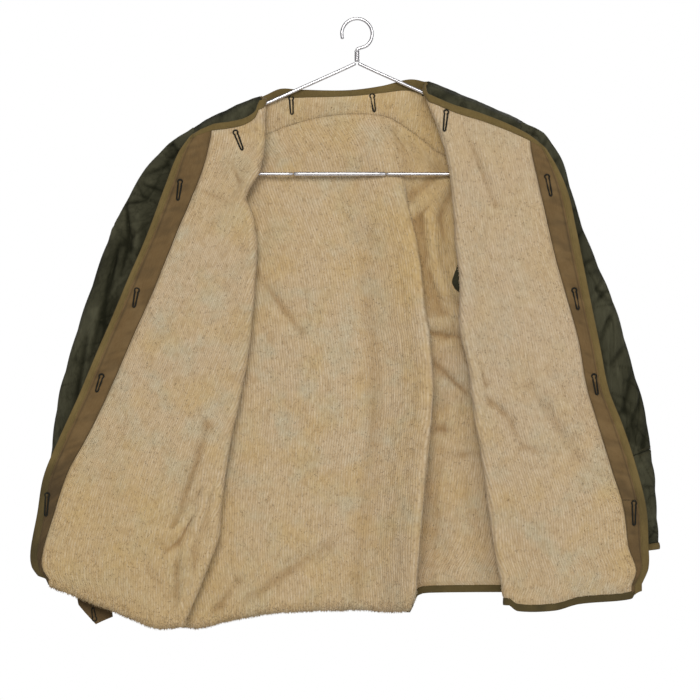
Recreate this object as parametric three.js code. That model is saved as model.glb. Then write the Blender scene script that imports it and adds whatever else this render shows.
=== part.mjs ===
// A quilted, pile-lined jacket liner that hangs open on a wire hanger, both fronts turned outwards
// over the sleeves. Millimetres, +Z up, +X to the viewer's right, -Y towards the viewer. The origin
// is where the hanger's hook rests on its rail. Left and right are the viewer's.
import * as THREE from 'three';

// ---------------------------------------------------------------- driving dimensions
const CLOTH = { shell: 1.6, pile: 4.2, bound: 1.4 };   // skin sizes each side of the sewn mid surface
const SEAM_GAP = 0.5;             // between two cut pieces that meet edge to edge
const SHOULDER_GAP = 1.8;         // the same over the shoulder, where the curves differ most
const ARMHOLE_GAP = { side: 1.7, under: 2.8 };    // between a body's armhole edge and its sleeve
const TAPE = { width: 9, crown: 0.9 };
const FACING = { thick: 1.1, lift: 0.35, well: 1.6 };   // well: the pile's height where a facing covers it
const SLEEVE = {
  wall: 3.2, pucker: 1.3, quilt: 52, seamAt: 0.7, seamGap: 0.0006, cuffTape: 11,
  length: 640, girth: 350, cuffGirth: 300, sides: 22,
};
const FOLD_RADIUS = 6;            // half the space between a front's two layers at its fold
const HEM = { length: 18, radius: 7, tapeFrom: 8.6, unrolled: 0.55 };
const NECK_TAPE_T = 0.015;        // the tape's share of a front's length at the neck
const BACK_TAPE_T = 0.0095;       // the same of the back, whose cloth spreads more there
const YOKE_T = 0.05;              // where the yoke ends and the back starts
const YOKE_FADE = 0.14;           // how far below its seam the seam's line shapes the back
const NECK = { left: -132, right: 92, blend: 5, stand: 2.5 };     // stand: its lean to the hanger
const SHOULDER_T = 0.08;          // how far down the shoulder seam's line shapes a front
const TOP_REACH_T = 0.16;         // how far down a turned front its neck edge's line shapes it
const HEM_REACH_T = 0.2;          // how far up a panel its hem line shapes it
const SPAN = 600;                 // mm of cloth for one unit of t
const SIDE_SPAN = { front: 70, backLeft: 180, backRight: 120 };   // the same for u at a side edge
const UNITS_PAST_HEM = 100;       // t beyond 1 counts the cloth past the hem line, 0.01 for 1 mm
const ARMHOLE_FOOT = [0.35, 0.371];                // t of more rows where the armhole turns under
const WIRE = { radius: 2.35, sides: 5 };            // sides: for half a turn round the wire
const HANGER = {
  hookRadius: 21, hookFrom: -52, hookTo: 196, apexZ: -59, shoulderX: 186, shoulderZ: -142, endX: 207,
  barZ: -212, shankTop: -42, neckRadius: 3.6, sleeveFrom: -88, sleeveTo: 40, sleeveRadius: 2.95,
};
const CUFF_TAB = {
  width: 44, shoulder: 34, length: 62, thick: 3.2, inside: 14, around: { left: 0.17, right: 0.24 },
};
const DEPTH = { back: 10, under: -7.2, upper: -19.2, seam: 3 };     // y of each layer's mid surface
const EDGE_TURN = 8;              // cloth that bends towards a seam, from the seam inwards

// ---------------------------------------------------------------- tables of the cut, as it hangs
// t runs from the shoulder (0) to the hem (1). Each row gives a panel's lines in elevation.
const LEFT_FRONT = table(
  ['t', 'foldX', 'foldZ', 'edgeX', 'edgeZ', 'facing', 'yMid', 'yEdge'],
  [0.00, -124, -112, -230, -163, 36, -16, -15],
  [0.05, -126, -145, -246, -185, 47, -18, -17],
  [0.12, -127, -178, -263, -228, 56, -21, -20],
  [0.20, -136, -213, -283, -283, 60, -24, -24],
  [0.25, -152, -243, -297, -318, 61, -26, -25],
  [0.30, -143, -270, -312, -352, 61, -27, -26],
  [0.38, -137, -315, -334, -405, 60, -28, -27],
  [0.46, -141, -370, -357, -458, 56, -29, -27],
  [0.55, -147, -440, -382, -518, 51, -29, -28],
  [0.64, -159, -515, -409, -577, 46, -29, -29],
  [0.73, -175, -587, -430, -628, 35, -28, -28],
  [0.82, -185, -660, -439, -680, 24, -27, -27],
  [0.90, -191, -716, -448, -728, 17, -24, -25],
  [0.96, -214, -775, -447, -758, 13.5, -20, -22],
  [1.00, -234, -822, -437, -774, 13, -15, -18],
);
const RIGHT_FRONT = table(
  ['t', 'foldX', 'foldZ', 'edgeX', 'edgeZ', 'facing', 'yMid', 'yEdge'],
  [0.00, 88, -103, 260, -179, 24, -16, -15],
  [0.05, 105, -138, 276, -206, 39, -18, -17],
  [0.12, 120, -178, 290, -240, 46, -22, -20],
  [0.20, 130, -235, 300, -285, 44, -25, -24],
  [0.30, 135, -305, 311, -340, 40, -27, -26],
  [0.38, 141, -365, 321, -390, 34, -28, -27],
  [0.46, 140, -420, 333, -448, 30, -29, -27],
  [0.55, 152, -478, 345, -508, 32, -29, -28],
  [0.64, 160, -540, 365, -560, 36, -29, -29],
  [0.73, 170, -600, 383, -615, 37, -28, -28],
  [0.82, 180, -672, 397, -672, 32, -27, -26],
  [0.90, 189, -733, 400, -722, 27, -26, -25],
  [0.96, 196, -768, 398, -752, 16, -25, -25],
  [1.00, 199, -788, 388, -772, 13, -24, -24],
);
// The line where front meets back: the armhole down to t = UNDERARM, then the side seam.
const UNDERARM = 0.38;
const LEFT_SIDE = table(
  ['t', 'frontX', 'frontZ', 'backX', 'backZ'],
  [0.00, -227, -151, -227, -151],
  [0.05, -219, -178, -218, -178],
  [0.12, -211, -215, -208, -215],
  [0.20, -207, -266, -203, -266],
  [0.30, -208, -335, -205, -335],
  [0.38, -214, -390, -214, -390],
  [0.55, -224, -505, -224, -505],
  [0.73, -237, -640, -237, -640],
  [0.90, -246, -760, -246, -760],
  [1.00, -254, -822, -254, -822],
);
const RIGHT_SIDE = table(
  ['t', 'frontX', 'frontZ', 'backX', 'backZ'],
  [0.00, 228, -142, 228, -142],
  [0.05, 221, -168, 178, -204],
  [0.12, 213, -208, 160, -240],
  [0.20, 206, -264, 150, -283],
  [0.30, 198, -336, 139, -335],
  [0.35, 194, -372, 136, -372],
  [0.38, 192, -393, 192, -393],
  [0.46, 198, -440, 198, -440],
  [0.55, 206, -500, 206, -500],
  [0.64, 218, -565, 218, -565],
  [0.73, 231, -630, 231, -630],
  [0.90, 250, -735, 250, -735],
  [1.00, 262, -772, 262, -772],
);
// The deep fold down the back: its crest line, how far it stands towards the viewer, how far the
// cloth right of it sinks, and the y of the cloth round it.
const BACK_FOLD = table(
  ['t', 'x', 'z', 'rise', 'hollow', 'y'],
  [0.00, 30, -91, 0, 0, 10],
  [0.05, 26, -130, 1, 0, 14],
  [0.12, 47, -168, 6, 1, 17],
  [0.17, 57, -207, 8, 1, 17],
  [0.22, 67, -252, 12, 2, 16],
  [0.30, 82, -325, 18, 4, 14],
  [0.38, 90, -395, 22, 5, 12],
  [0.46, 98, -450, 25, 5, 11],
  [0.55, 101, -515, 28, 5, 10],
  [0.64, 97, -572, 30, 5, 10],
  [0.73, 90, -635, 32, 5, 10],
  [0.82, 85, -692, 34, 5, 10],
  [0.90, 81, -740, 36, 5, 10],
  [1.00, 77, -785, 38, 5, 10],
);
// The section of that fold: distance from the crest line, and the share of its rise.
const FOLD_SECTION = table(
  ['u', 'dx', 'rise'],
  [0.00, -78, 0.00],
  [0.20, -50, 0.20],
  [0.38, -28, 0.55],
  [0.54, -11, 0.90],
  [0.66, -2, 0.98],
  [0.74, 0, 0.80],
  [0.82, -5, 0.45],
  [0.88, -5, 0.16],
  [0.94, 6, 0.00],
  [1.00, 22, 0.00],
);
// Top edge of the back from shoulder point to shoulder point, along x.
const BACK_TOP = table(
  ['x', 'z'],
  [-227, -151], [-190, -130], [-127, -103], [-106, -94], [-81, -95], [-14, -96], [34, -90],
  [72, -81], [95, -85], [145, -105], [213, -134], [228, -142],
);
// The seam between yoke and back, along x.
const YOKE_SEAM = table(
  ['x', 'z'],
  [-219, -179], [-124, -156], [-98, -146], [-55, -134], [-14, -129], [34, -131], [56, -140],
  [95, -168], [114, -183], [178, -204],
);
const BACK_HEM = table(
  ['x', 'z'],
  [-238, -828], [-218, -829], [-163, -816], [-110, -808], [-10, -804], [52, -803], [78, -792],
  [100, -772], [262, -772],
);
// Neck and hem edges of the turned-out fronts, from the fold (s = 0) to the front edge (s = 1).
const LEFT_NECK = table(
  ['s', 'x', 'z'],
  [0.00, -124, -112], [0.12, -130, -126], [0.26, -146, -136], [0.45, -168, -141], [0.68, -196, -145],
  [0.88, -219, -155], [1.00, -230, -163],
);
const RIGHT_NECK = table(
  ['s', 'x', 'z'],
  [0.00, 88, -103], [0.20, 122, -117], [0.44, 163, -129], [0.70, 206, -145], [0.88, 238, -161],
  [1.00, 260, -179],
);
const LEFT_HEM = table(
  ['s', 'x', 'z'],
  [0.00, -234, -826], [0.20, -270, -827], [0.42, -312, -811], [0.62, -353, -797], [0.82, -397, -783],
  [1.00, -437, -774],
);
const RIGHT_HEM = table(
  ['s', 'x', 'z'],
  [0.00, 199, -788], [0.08, 212, -796], [0.35, 265, -795], [0.55, 300, -786], [0.86, 360, -780],
  [1.00, 388, -772],
);
// Soft troughs (depth > 0 sinks away from the viewer) and ridges (depth < 0), as they lie.
const BACK_CREASES = table(
  ['x1', 'z1', 'x2', 'z2', 'depth', 'width'],
  [-139, -350, -78, -430, 3.5, 10],
  [-150, -335, -92, -436, -2.0, 16],
  [-211, -833, -165, -776, 4.0, 11],
  [-181, -818, -43, -727, 4.0, 13],
  [-165, -835, -30, -760, -3.0, 16],
  [-60, -250, -20, -560, -2.5, 38],
  [20, -300, 38, -760, 2.5, 24],
  [127, -221, 78, -262, -5.0, 9],
  [88, -268, 92, -300, 3.0, 8],
  [121, -232, 101, -270, -4.0, 8],
  [101, -270, 106, -336, -4.5, 8],
  [106, -336, 134, -402, -4.0, 8],
  [100, -418, 140, -420, -4.0, 9],
  [99, -433, 142, -437, 4.0, 7],
  [99, -466, 150, -514, 3.5, 8],
  [101, -563, 130, -566, 2.5, 7],
  [128, -602, 166, -598, 2.5, 7],
  [125, -640, 150, -760, -3.0, 14],
);
const LEFT_CREASES = table(
  ['x1', 'z1', 'x2', 'z2', 'depth', 'width'],
  [-190, -642, -256, -724, -3.0, 11],
  [-197, -577, -247, -691, 3.5, 11],
  [-214, -716, -216, -800, -3.0, 12],
  [-160, -240, -215, -300, 2.5, 14],
  [-290, -560, -330, -760, -2.5, 26],
  [-240, -330, -300, -520, -2.0, 30],
);
const RIGHT_CREASES = table(
  ['x1', 'z1', 'x2', 'z2', 'depth', 'width'],
  [150, -462, 176, -502, 3.0, 8],
  [170, -516, 214, -550, 3.0, 9],
  [246, -488, 286, -537, -3.5, 11],
  [286, -537, 328, -604, -3.5, 11],
  [236, -505, 300, -600, 3.0, 13],
  [204, -544, 228, -588, 2.5, 9],
  [228, -588, 256, -592, 2.5, 9],
  [240, -640, 300, -760, -2.0, 24],
);
// Sleeves, ring by ring: the outer and inner edge in elevation, half the depth, and the ring's y.
const LEFT_SLEEVE = table(
  ['v', 'outX', 'outZ', 'inX', 'inZ', 'half', 'y'],
  [0.000, -229, -152, -215, -391, 8, 3],
  [0.055, -258, -172, -218, -398, 12, 3],
  [0.110, -288, -204, -222, -408, 15, 4],
  [0.170, -317, -251, -228, -424, 17, 4],
  [0.250, -345, -312, -236, -448, 18, 4],
  [0.330, -366, -372, -246, -480, 18, 4],
  [0.430, -389, -446, -257, -526, 18, 4],
  [0.530, -408, -512, -266, -572, 17, 4],
  [0.630, -418, -578, -273, -622, 16, 4],
  [0.700, -421, -622, -277, -658, 16, 4],
  [0.800, -419, -682, -279, -716, 15, 4],
  [0.900, -411, -735, -278, -770, 14, 4],
  [1.000, -402, -780, -275, -820, 13, 4],
);
const RIGHT_SLEEVE = table(
  ['v', 'outX', 'outZ', 'inX', 'inZ', 'half', 'y'],
  [0.000, 229, -143, 195, -396, 8, 3],
  [0.055, 256, -157, 199, -403, 12, 4],
  [0.110, 279, -190, 204, -414, 15, 5],
  [0.170, 294, -235, 211, -430, 17, 5],
  [0.250, 312, -292, 222, -452, 18, 5],
  [0.330, 333, -344, 234, -480, 18, 5],
  [0.430, 356, -402, 247, -516, 18, 5],
  [0.530, 375, -468, 259, -560, 17, 5],
  [0.630, 396, -540, 268, -606, 16, 4],
  [0.700, 404, -592, 273, -640, 16, 4],
  [0.800, 410, -642, 278, -680, 15, 4],
  [0.900, 412, -690, 282, -712, 14, 4],
  [1.000, 416, -730, 286, -744, 13, 4],
);

// ---------------------------------------------------------------- small maths
function table(names, ...rows) {
  return rows.map((row) => Object.fromEntries(names.map((name, i) => [name, row[i]])));
}

/** A smooth line through a table's rows, read at any value of its key column. */
function track(rows, key, name) {
  const slope = rows.map((row, i) => {
    const a = rows[Math.max(i - 1, 0)];
    const b = rows[Math.min(i + 1, rows.length - 1)];
    return (b[name] - a[name]) / (b[key] - a[key]);
  });
  return (at) => {
    const last = rows.length - 2;
    let i = 0;
    while (i < last && at > rows[i + 1][key]) i += 1;
    const span = rows[i + 1][key] - rows[i][key];
    const f = THREE.MathUtils.clamp((at - rows[i][key]) / span, 0, 1);
    const h = f * f * (3 - 2 * f);
    return rows[i][name] * (1 - h) + rows[i + 1][name] * h
      + f * (1 - f) * span * ((1 - f) * slope[i] - f * slope[i + 1]);
  };
}

/** The tracks of several columns, by name. */
function tracks(rows, key, names) {
  return Object.fromEntries(names.map((name) => [name, track(rows, key, name)]));
}

const mix = (a, b, f) => a + (b - a) * f;
const ease = (f) => THREE.MathUtils.smoothstep(f, 0, 1);
const spread = (from, to, count) => Array.from({ length: count + 1 }, (_, i) => mix(from, to, i / count));
const quarter = Math.PI / 2;

/** How far the listed creases push a point at (x, z) away from the viewer. */
function creaseDepth(creases, x, z) {
  let sum = 0;
  for (const c of creases) {
    const dx = c.x2 - c.x1;
    const dz = c.z2 - c.z1;
    const along = THREE.MathUtils.clamp(((x - c.x1) * dx + (z - c.z1) * dz) / (dx * dx + dz * dz), 0, 1);
    const away = Math.hypot(x - c.x1 - along * dx, z - c.z1 - along * dz) / c.width;
    const ends = 0.35 + 0.65 * Math.sin(Math.PI * Math.min(Math.max(along, 0.12), 0.88));
    sum += c.depth * ends * Math.exp(-away * away);
  }
  return sum;
}

// ---------------------------------------------------------------- closed walls
/** The surface's unit normal at (u, t), by central differences. */
function normalAt(surface, u, t) {
  const step = 0.002;
  const du = surface(u + step, t).sub(surface(u - step, t));
  const dt = surface(u, t + step).sub(surface(u, t - step));
  return du.cross(dt).normalize();
}

/**
 * A closed wall over a grid of a surface's parameters. low and high give each side's distance
 * along the normal; a wall that closes on itself runs round in u.
 */
function wall(surface, us, ts, low, high, closed = false) {
  const rows = ts.length;
  const count = us.length;
  const positions = [];
  for (const side of [low, high]) {
    for (const u of us) {
      for (const t of ts) {
        const p = surface(u, t).addScaledVector(normalAt(surface, u, t), side(u, t));
        positions.push(p.x, p.y, p.z);
      }
    }
  }
  const lowAt = (i, j) => (i % count) * rows + j;
  const highAt = (i, j) => count * rows + lowAt(i, j);
  const index = [];
  const quad = (a, b, c, d) => index.push(a, b, c, a, c, d);
  const spans = closed ? count : count - 1;
  for (let i = 0; i < spans; i += 1) {
    for (let j = 0; j < rows - 1; j += 1) {
      quad(highAt(i, j), highAt(i + 1, j), highAt(i + 1, j + 1), highAt(i, j + 1));
      quad(lowAt(i, j), lowAt(i, j + 1), lowAt(i + 1, j + 1), lowAt(i + 1, j));
    }
    quad(lowAt(i, 0), lowAt(i + 1, 0), highAt(i + 1, 0), highAt(i, 0));
    quad(lowAt(i, rows - 1), highAt(i, rows - 1), highAt(i + 1, rows - 1), lowAt(i + 1, rows - 1));
  }
  if (!closed) {
    for (let j = 0; j < rows - 1; j += 1) {
      quad(lowAt(0, j), highAt(0, j), highAt(0, j + 1), lowAt(0, j + 1));
      quad(lowAt(spans, j), lowAt(spans, j + 1), highAt(spans, j + 1), highAt(spans, j));
    }
  }
  const geometry = new THREE.BufferGeometry();
  geometry.setAttribute('position', new THREE.Float32BufferAttribute(positions, 3));
  geometry.setIndex(index);
  return geometry;
}

// ---------------------------------------------------------------- materials
const cloth = (color, roughness = 0.9) => new THREE.MeshStandardMaterial({ color, roughness, metalness: 0 });
const FINISH = {
  pile: () => cloth(0xc8af82, 0.95),
  twill: () => cloth(0x7d623a),
  tape: () => cloth(0x6e5a2d),
  nylon: () => cloth(0x3c3e2d, 0.5),
  wire: () => new THREE.MeshStandardMaterial({ color: 0xc8c8c6, roughness: 0.3, metalness: 0.9 }),
};

const liner = new THREE.Group();
function add(name, geometry, material) {
  geometry.computeVertexNormals();
  const mesh = new THREE.Mesh(geometry, material);
  mesh.name = name;
  liner.add(mesh);
}

// ---------------------------------------------------------------- body panels
/** Cloth past a panel's hem line, which hangs straight (roll 0) or rolls to the back (roll 1). */
function hemTurn(past, roll) {
  if (roll < 0.02) return { y: 0, z: -past };
  const bend = roll / HEM.radius;
  return { y: (1 - Math.cos(bend * past)) / bend, z: -Math.sin(bend * past) / bend };
}

/** 1 at a seam and 0 from one turn inwards, along a quarter ellipse; it runs on evenly past 0. */
function seamTurn(share) {
  if (share >= 1) return 0;
  if (share < 0) return 2 - seamTurn(-share);
  return 1 - Math.sqrt(1 - (1 - share) ** 2);
}

/** The pile's height, pressed flat within a seam's reach. */
const pileAt = (distance) => mix(CLOTH.bound, CLOTH.pile, ease(distance / 10));

/**
 * A front. u 0..1 is the layer under the fold, 1..2 the fold and 2..3.1 the layer turned outwards:
 * its pile to 2.8, the well under its facing to 3.0 and the edge tape to 3.1.
 */
function frontSurface(spec) {
  const line = (rows, name) => track(rows, 't', name);
  const fold = { x: line(spec.front, 'foldX'), z: line(spec.front, 'foldZ') };
  const edge = { x: line(spec.front, 'edgeX'), z: line(spec.front, 'edgeZ') };
  const side = { x: line(spec.side, 'frontX'), z: line(spec.side, 'frontZ') };
  const depth = { mid: line(spec.front, 'yMid'), edge: line(spec.front, 'yEdge') };
  const facing = line(spec.front, 'facing');
  const neck = tracks(spec.neck, 's', ['x', 'z']);
  const hem = tracks(spec.hem, 's', ['x', 'z']);
  const inward = -spec.sign;      // along x, from the front edge towards the fold
  const turnX = (t) => fold.x(t) - inward * (FOLD_RADIUS + CLOTH.pile);
  const shoulderZ = track(BACK_TOP, 'x', 'z');

  const shareOf = (u, t) => {
    const width = Math.hypot(edge.x(t) - turnX(t), edge.z(t) - fold.z(t));
    const well = 1 - facing(t) / width;
    const tape = 1 - TAPE.width / width;
    if (u < 2.8) return ((u - 2) / 0.8) * (well - 2.5 / width);
    if (u < 2.84) return mix(well - 2.5 / width, well, (u - 2.8) / 0.04);
    if (u < 3) return mix(well, tape, (u - 2.84) / 0.16);
    return mix(tape, 1, (u - 3) / 0.1);
  };
  const upper = (s, t) => {
    const top = 1 - Math.min(t / TOP_REACH_T, 1);
    const low = Math.max((t - 1) / HEM_REACH_T + 1, 0);
    const x = mix(turnX(t), edge.x(t), s)
      + top * (neck.x(s) - mix(fold.x(0), edge.x(0), s)) + low * (hem.x(s) - mix(fold.x(1), edge.x(1), s));
    const z = mix(fold.z(t), edge.z(t), s)
      + top * (neck.z(s) - mix(fold.z(0), edge.z(0), s)) + low * (hem.z(s) - mix(fold.z(1), edge.z(1), s));
    const belly = s < 0.5
      ? mix(DEPTH.upper, depth.mid(t), ease(s * 2))
      : mix(depth.mid(t), depth.edge(t), ease(s * 2 - 1));
    const fade = ease(s * 6) * ease((1 - s) * 8) * ease(t * 8);
    return new THREE.Vector3(x, belly + fade * creaseDepth(spec.creases, x, z), z);
  };
  const under = (u, t) => {
    const x = mix(side.x(t), turnX(t), u);
    const joined = ease((t - UNDERARM) / 0.04);
    const seam = joined * seamTurn((inward * (x - side.x(t))) / EDGE_TURN);
    const shoulder = seamTurn((t * SPAN) / EDGE_TURN);
    const pull = Math.max(
      seam * (DEPTH.seam - SEAM_GAP / 2 - DEPTH.under),
      shoulder * (-SHOULDER_GAP / 2 - DEPTH.under),
    );
    const lift = shoulderZ(mix(side.x(0), turnX(0), u)) - mix(side.z(0), fold.z(0), u);
    const z = mix(side.z(t), fold.z(t), u) + lift * (1 - Math.min(t / SHOULDER_T, 1));
    return new THREE.Vector3(x, DEPTH.under + pull, z);
  };
  return (u, tIn) => {
    const t = Math.min(tIn, 1);
    let p;
    if (u <= 1) p = under(u, t);
    else if (u >= 2) p = upper(shareOf(u, t), t);
    else {
      const turn = (u - 1) * Math.PI;
      const a = under(1, t);
      const b = upper(0, t);
      p = new THREE.Vector3(
        mix(a.x, b.x, u - 1) + inward * FOLD_RADIUS * Math.sin(turn),
        mix(a.y, b.y, (1 - Math.cos(turn)) / 2),
        mix(a.z, b.z, u - 1),
      );
    }
    const roll = spec.roll * ease((u - 2.05) / 0.25) * ease((3.1 - u) / 0.25);
    const corner = 1 - 0.45 * ease((u - 2.86) / 0.2);
    const given = spec.roll ? mix(HEM.unrolled, 1, roll) : 1;
    const past = Math.max(tIn - 1, 0) * UNITS_PAST_HEM * corner * given;
    const turned = hemTurn(past, roll);
    p.y += turned.y;
    p.z += turned.z;
    return p;
  };
}

/** The back. u 0..1 is left of the deep fold, 1..2 the fold's section and 2..3 right of it. */
function backSurface() {
  const left = { x: track(LEFT_SIDE, 't', 'backX'), z: track(LEFT_SIDE, 't', 'backZ') };
  const right = { x: track(RIGHT_SIDE, 't', 'backX'), z: track(RIGHT_SIDE, 't', 'backZ') };
  const crest = tracks(BACK_FOLD, 't', ['x', 'z', 'rise', 'hollow', 'y']);
  const section = tracks(FOLD_SECTION, 'u', ['dx', 'rise']);
  const topZ = track(BACK_TOP, 'x', 'z');
  const hemZ = track(BACK_HEM, 'x', 'z');
  const seamZ = track(YOKE_SEAM, 'x', 'z');
  const first = FOLD_SECTION[0].dx;
  const last = FOLD_SECTION[FOLD_SECTION.length - 1].dx;

  const across = (u, t) => {
    if (u <= 1) return mix(left.x(t), crest.x(t) + first, u);
    if (u <= 2) {
      const folded = ease((crest.rise(t) - 4) / 14);
      return crest.x(t) + mix(mix(first, last, u - 1), section.dx(u - 1), folded);
    }
    return mix(crest.x(t) + last, right.x(t), u - 2);
  };
  const ruled = (x, t) => {
    const mid = crest.x(t);
    return x < mid
      ? mix(left.z(t), crest.z(t), (x - left.x(t)) / (mid - left.x(t)))
      : mix(crest.z(t), right.z(t), (x - mid) / (right.x(t) - mid));
  };
  const surface = (u, tIn) => {
    const t = Math.min(tIn, 1);
    const x = across(u, t);
    const top = 1 - Math.min(t / YOKE_T, 1);
    const low = ease((t - 1) / HEM_REACH_T + 1);
    const yoke = Math.min(t / YOKE_T, Math.max(1 - (t - YOKE_T) / YOKE_FADE, 0));
    const z = ruled(x, t) + top * (topZ(across(u, 0)) - ruled(across(u, 0), 0))
      + yoke * (seamZ(across(u, YOKE_T)) - ruled(across(u, YOKE_T), YOKE_T))
      + low * (hemZ(across(u, 1)) - ruled(across(u, 1), 1));
    const joined = ease((t - UNDERARM) / 0.04);
    const inLeft = (x - left.x(t)) / EDGE_TURN;
    const inRight = (right.x(t) - x) / EDGE_TURN;
    const base = mix(DEPTH.back, crest.y(t), ease((Math.min(inLeft, inRight) * EDGE_TURN) / 60));
    const seam = joined * (DEPTH.back - DEPTH.seam - SEAM_GAP / 2) * (seamTurn(inLeft) + seamTurn(inRight));
    const neck = neckShare(across(u, 0));
    const shoulder = (1 - neck) * (base - SHOULDER_GAP / 2) * seamTurn((t * SPAN) / EDGE_TURN)
      + neck * NECK.stand * (1 - ease(t / YOKE_T));
    const rise = u < 1 || u > 2 ? 0 : section.rise(u - 1);
    const behind = ease((u - 1.75) / 0.25) * crest.hollow(t);
    const fade = ease(inLeft / 2) * ease(inRight / 2) * ease(t * 10);
    const relief = u > 1.3 && u < 1.9 ? 0 : creaseDepth(BACK_CREASES, x, z);
    const y = base - Math.max(seam, shoulder) - rise * crest.rise(t) + behind + fade * relief;
    const roll = ease(u / 0.15) * (1 - ease((u - 0.9) / 0.7));
    const past = Math.max(tIn - 1, 0) * UNITS_PAST_HEM * mix(u < 1 ? HEM.unrolled : 1, 1, roll);
    const turned = hemTurn(past, roll);
    return new THREE.Vector3(x, y + turned.y, z + turned.z);
  };
  return { surface, neckAt: (u) => neckShare(across(u, 0)) };
}

/** 1 between the two neck points of the back's top edge, 0 along its shoulder seams. */
function neckShare(x) {
  return ease((x - NECK.left + NECK.blend) / NECK.blend) * ease((NECK.right + NECK.blend - x) / NECK.blend);
}

/** A cloth layer between two heights, both measured from the sewn surface towards the pile. */
function layer(surface, us, ts, pileSign, from, to) {
  const low = pileSign > 0 ? from : (u, t) => -to(u, t);
  const high = pileSign > 0 ? to : (u, t) => -from(u, t);
  return wall(surface, us, ts, low, high);
}
const flat = (height) => () => height;

// ---------------------------------------------------------------- fronts, facings and tapes
const FRONTS = {
  left: {
    sign: -1, roll: 1, facingSeam: null,
    front: LEFT_FRONT, side: LEFT_SIDE, neck: LEFT_NECK, hem: LEFT_HEM, creases: LEFT_CREASES,
  },
  right: {
    sign: 1, roll: 0, facingSeam: 0.8,
    front: RIGHT_FRONT, side: RIGHT_SIDE, neck: RIGHT_NECK, hem: RIGHT_HEM, creases: RIGHT_CREASES,
  },
};
const GAP_U = 0.0045;             // a seam's gap as a share of u inside the edge strips
const GAP_T = 0.0008;             // and as a share of t
const FACING_FROM_U = 2.846;
const TAPE_TOP = FACING.well + FACING.lift + FACING.thick - 1;    // flat part of the edge tape
const HEM_TAPE_TOP = CLOTH.bound + 0.4;
const PRESSED = 2;                // mm off a pile's height where a binding's edge presses on it
const hemEnd = 1 + HEM.length / UNITS_PAST_HEM;
const hemTape = 1 + HEM.tapeFrom / UNITS_PAST_HEM;

/** The rounded top of a tape, at a distance from its middle line. */
function crown(mid, half, at) {
  return TAPE.crown * Math.sqrt(Math.max(1 - ((at - mid) / half) ** 2, 0));
}
const neckCrown = (width) => (u, t) => crown(width / 2, width * 0.55, t);
const hemCrown = (t) => crown((hemTape + hemEnd) / 2, (hemEnd - hemTape) * 0.55, t);
const sideCrown = (u) => crown(3.05, 0.055, u);
const neckRows = (width) => [0, width * 0.5, width - GAP_T * 0.6];
const HEM_TAPE_ROWS = [hemTape, mix(hemTape, hemEnd, 0.5), hemEnd];

function addFront(name, spec) {
  const surface = frontSurface(spec);
  const pileSign = -spec.sign;
  const skin = (part, us, ts, from, to, finish) => {
    add(`${part}_${name}`, layer(part.includes('tape') ? surface : main, us, ts, pileSign, from, to), finish);
  };
  // The neck edge of the turned layer starts below its tape; the shoulder seam has none.
  const belowTape = (u, t) => surface(u, t + (1 - t) * NECK_TAPE_T * ease(u - 1));
  const main = (u, t) => (t < 1 ? belowTape(u, t) : surface(u, t));
  const outwards = [...spread(2.1, 2.8, 7), 2.84, 2.92, 3 - GAP_U];
  const us = [0, 0.06, 0.16, 0.55, 1, 1.25, 1.5, 1.75, 2, ...outwards];
  const down = [...spread(0.035, 0.96, 17), 1, 1.04, hemTape - GAP_T * 10];
  const pile = (u, t) => {
    if (u > 2.82) return FACING.well;
    const fromSide = u < 1 ? u * SIDE_SPAN.front : Infinity;
    const fromTop = t * SPAN + 1;
    const fromHem = (hemTape - t) * UNITS_PAST_HEM + PRESSED;
    return pileAt(Math.min(fromSide, fromTop, fromHem));
  };
  skin('front', us, [0, 0.005, 0.0133, ...down], flat(-CLOTH.shell), pile, FINISH.pile());

  const seam = spec.facingSeam ?? Infinity;
  const facingUs = [FACING_FROM_U, 2.92, 3 - GAP_U];
  const onFacing = (u) => FACING.well + FACING.lift + (u > 2.85 && u < 2.99 ? 0.3 : 0);
  const facing = (part, ts) => {
    skin(part, facingUs, ts, onFacing, (u) => onFacing(u) + FACING.thick, FINISH.twill());
  };
  const above = [0, ...down.filter((t) => t < seam - 0.01)];
  facing('facing', seam < 1 ? [...above, seam - GAP_T / 2] : above);
  if (seam < 1) facing('facing_lower', [seam + GAP_T / 2, ...down.filter((t) => t > seam + 0.01)]);

  const edgeRows = [0, ...down].map((t) => (t < 1 ? mix(NECK_TAPE_T, 1, t) : t));
  skin('front_tape', [3 + GAP_U, 3.03, 3.07, 3.1], [0, ...edgeRows, 1.12, hemEnd],
    (u) => -CLOTH.shell - sideCrown(u), (u) => TAPE_TOP + sideCrown(u), FINISH.tape());
  const bend = neckCrown(NECK_TAPE_T);
  skin('neck_tape', [2, ...outwards], neckRows(NECK_TAPE_T),
    (u, t) => -CLOTH.shell - bend(u, t), (u, t) => TAPE_TOP + bend(u, t), FINISH.tape());
  skin('hem_tape', [...us.slice(0, -1), 3 - GAP_U * 4], HEM_TAPE_ROWS,
    (u, t) => -CLOTH.shell - hemCrown(t), (u, t) => HEM_TAPE_TOP + hemCrown(t), FINISH.tape());
}

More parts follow.
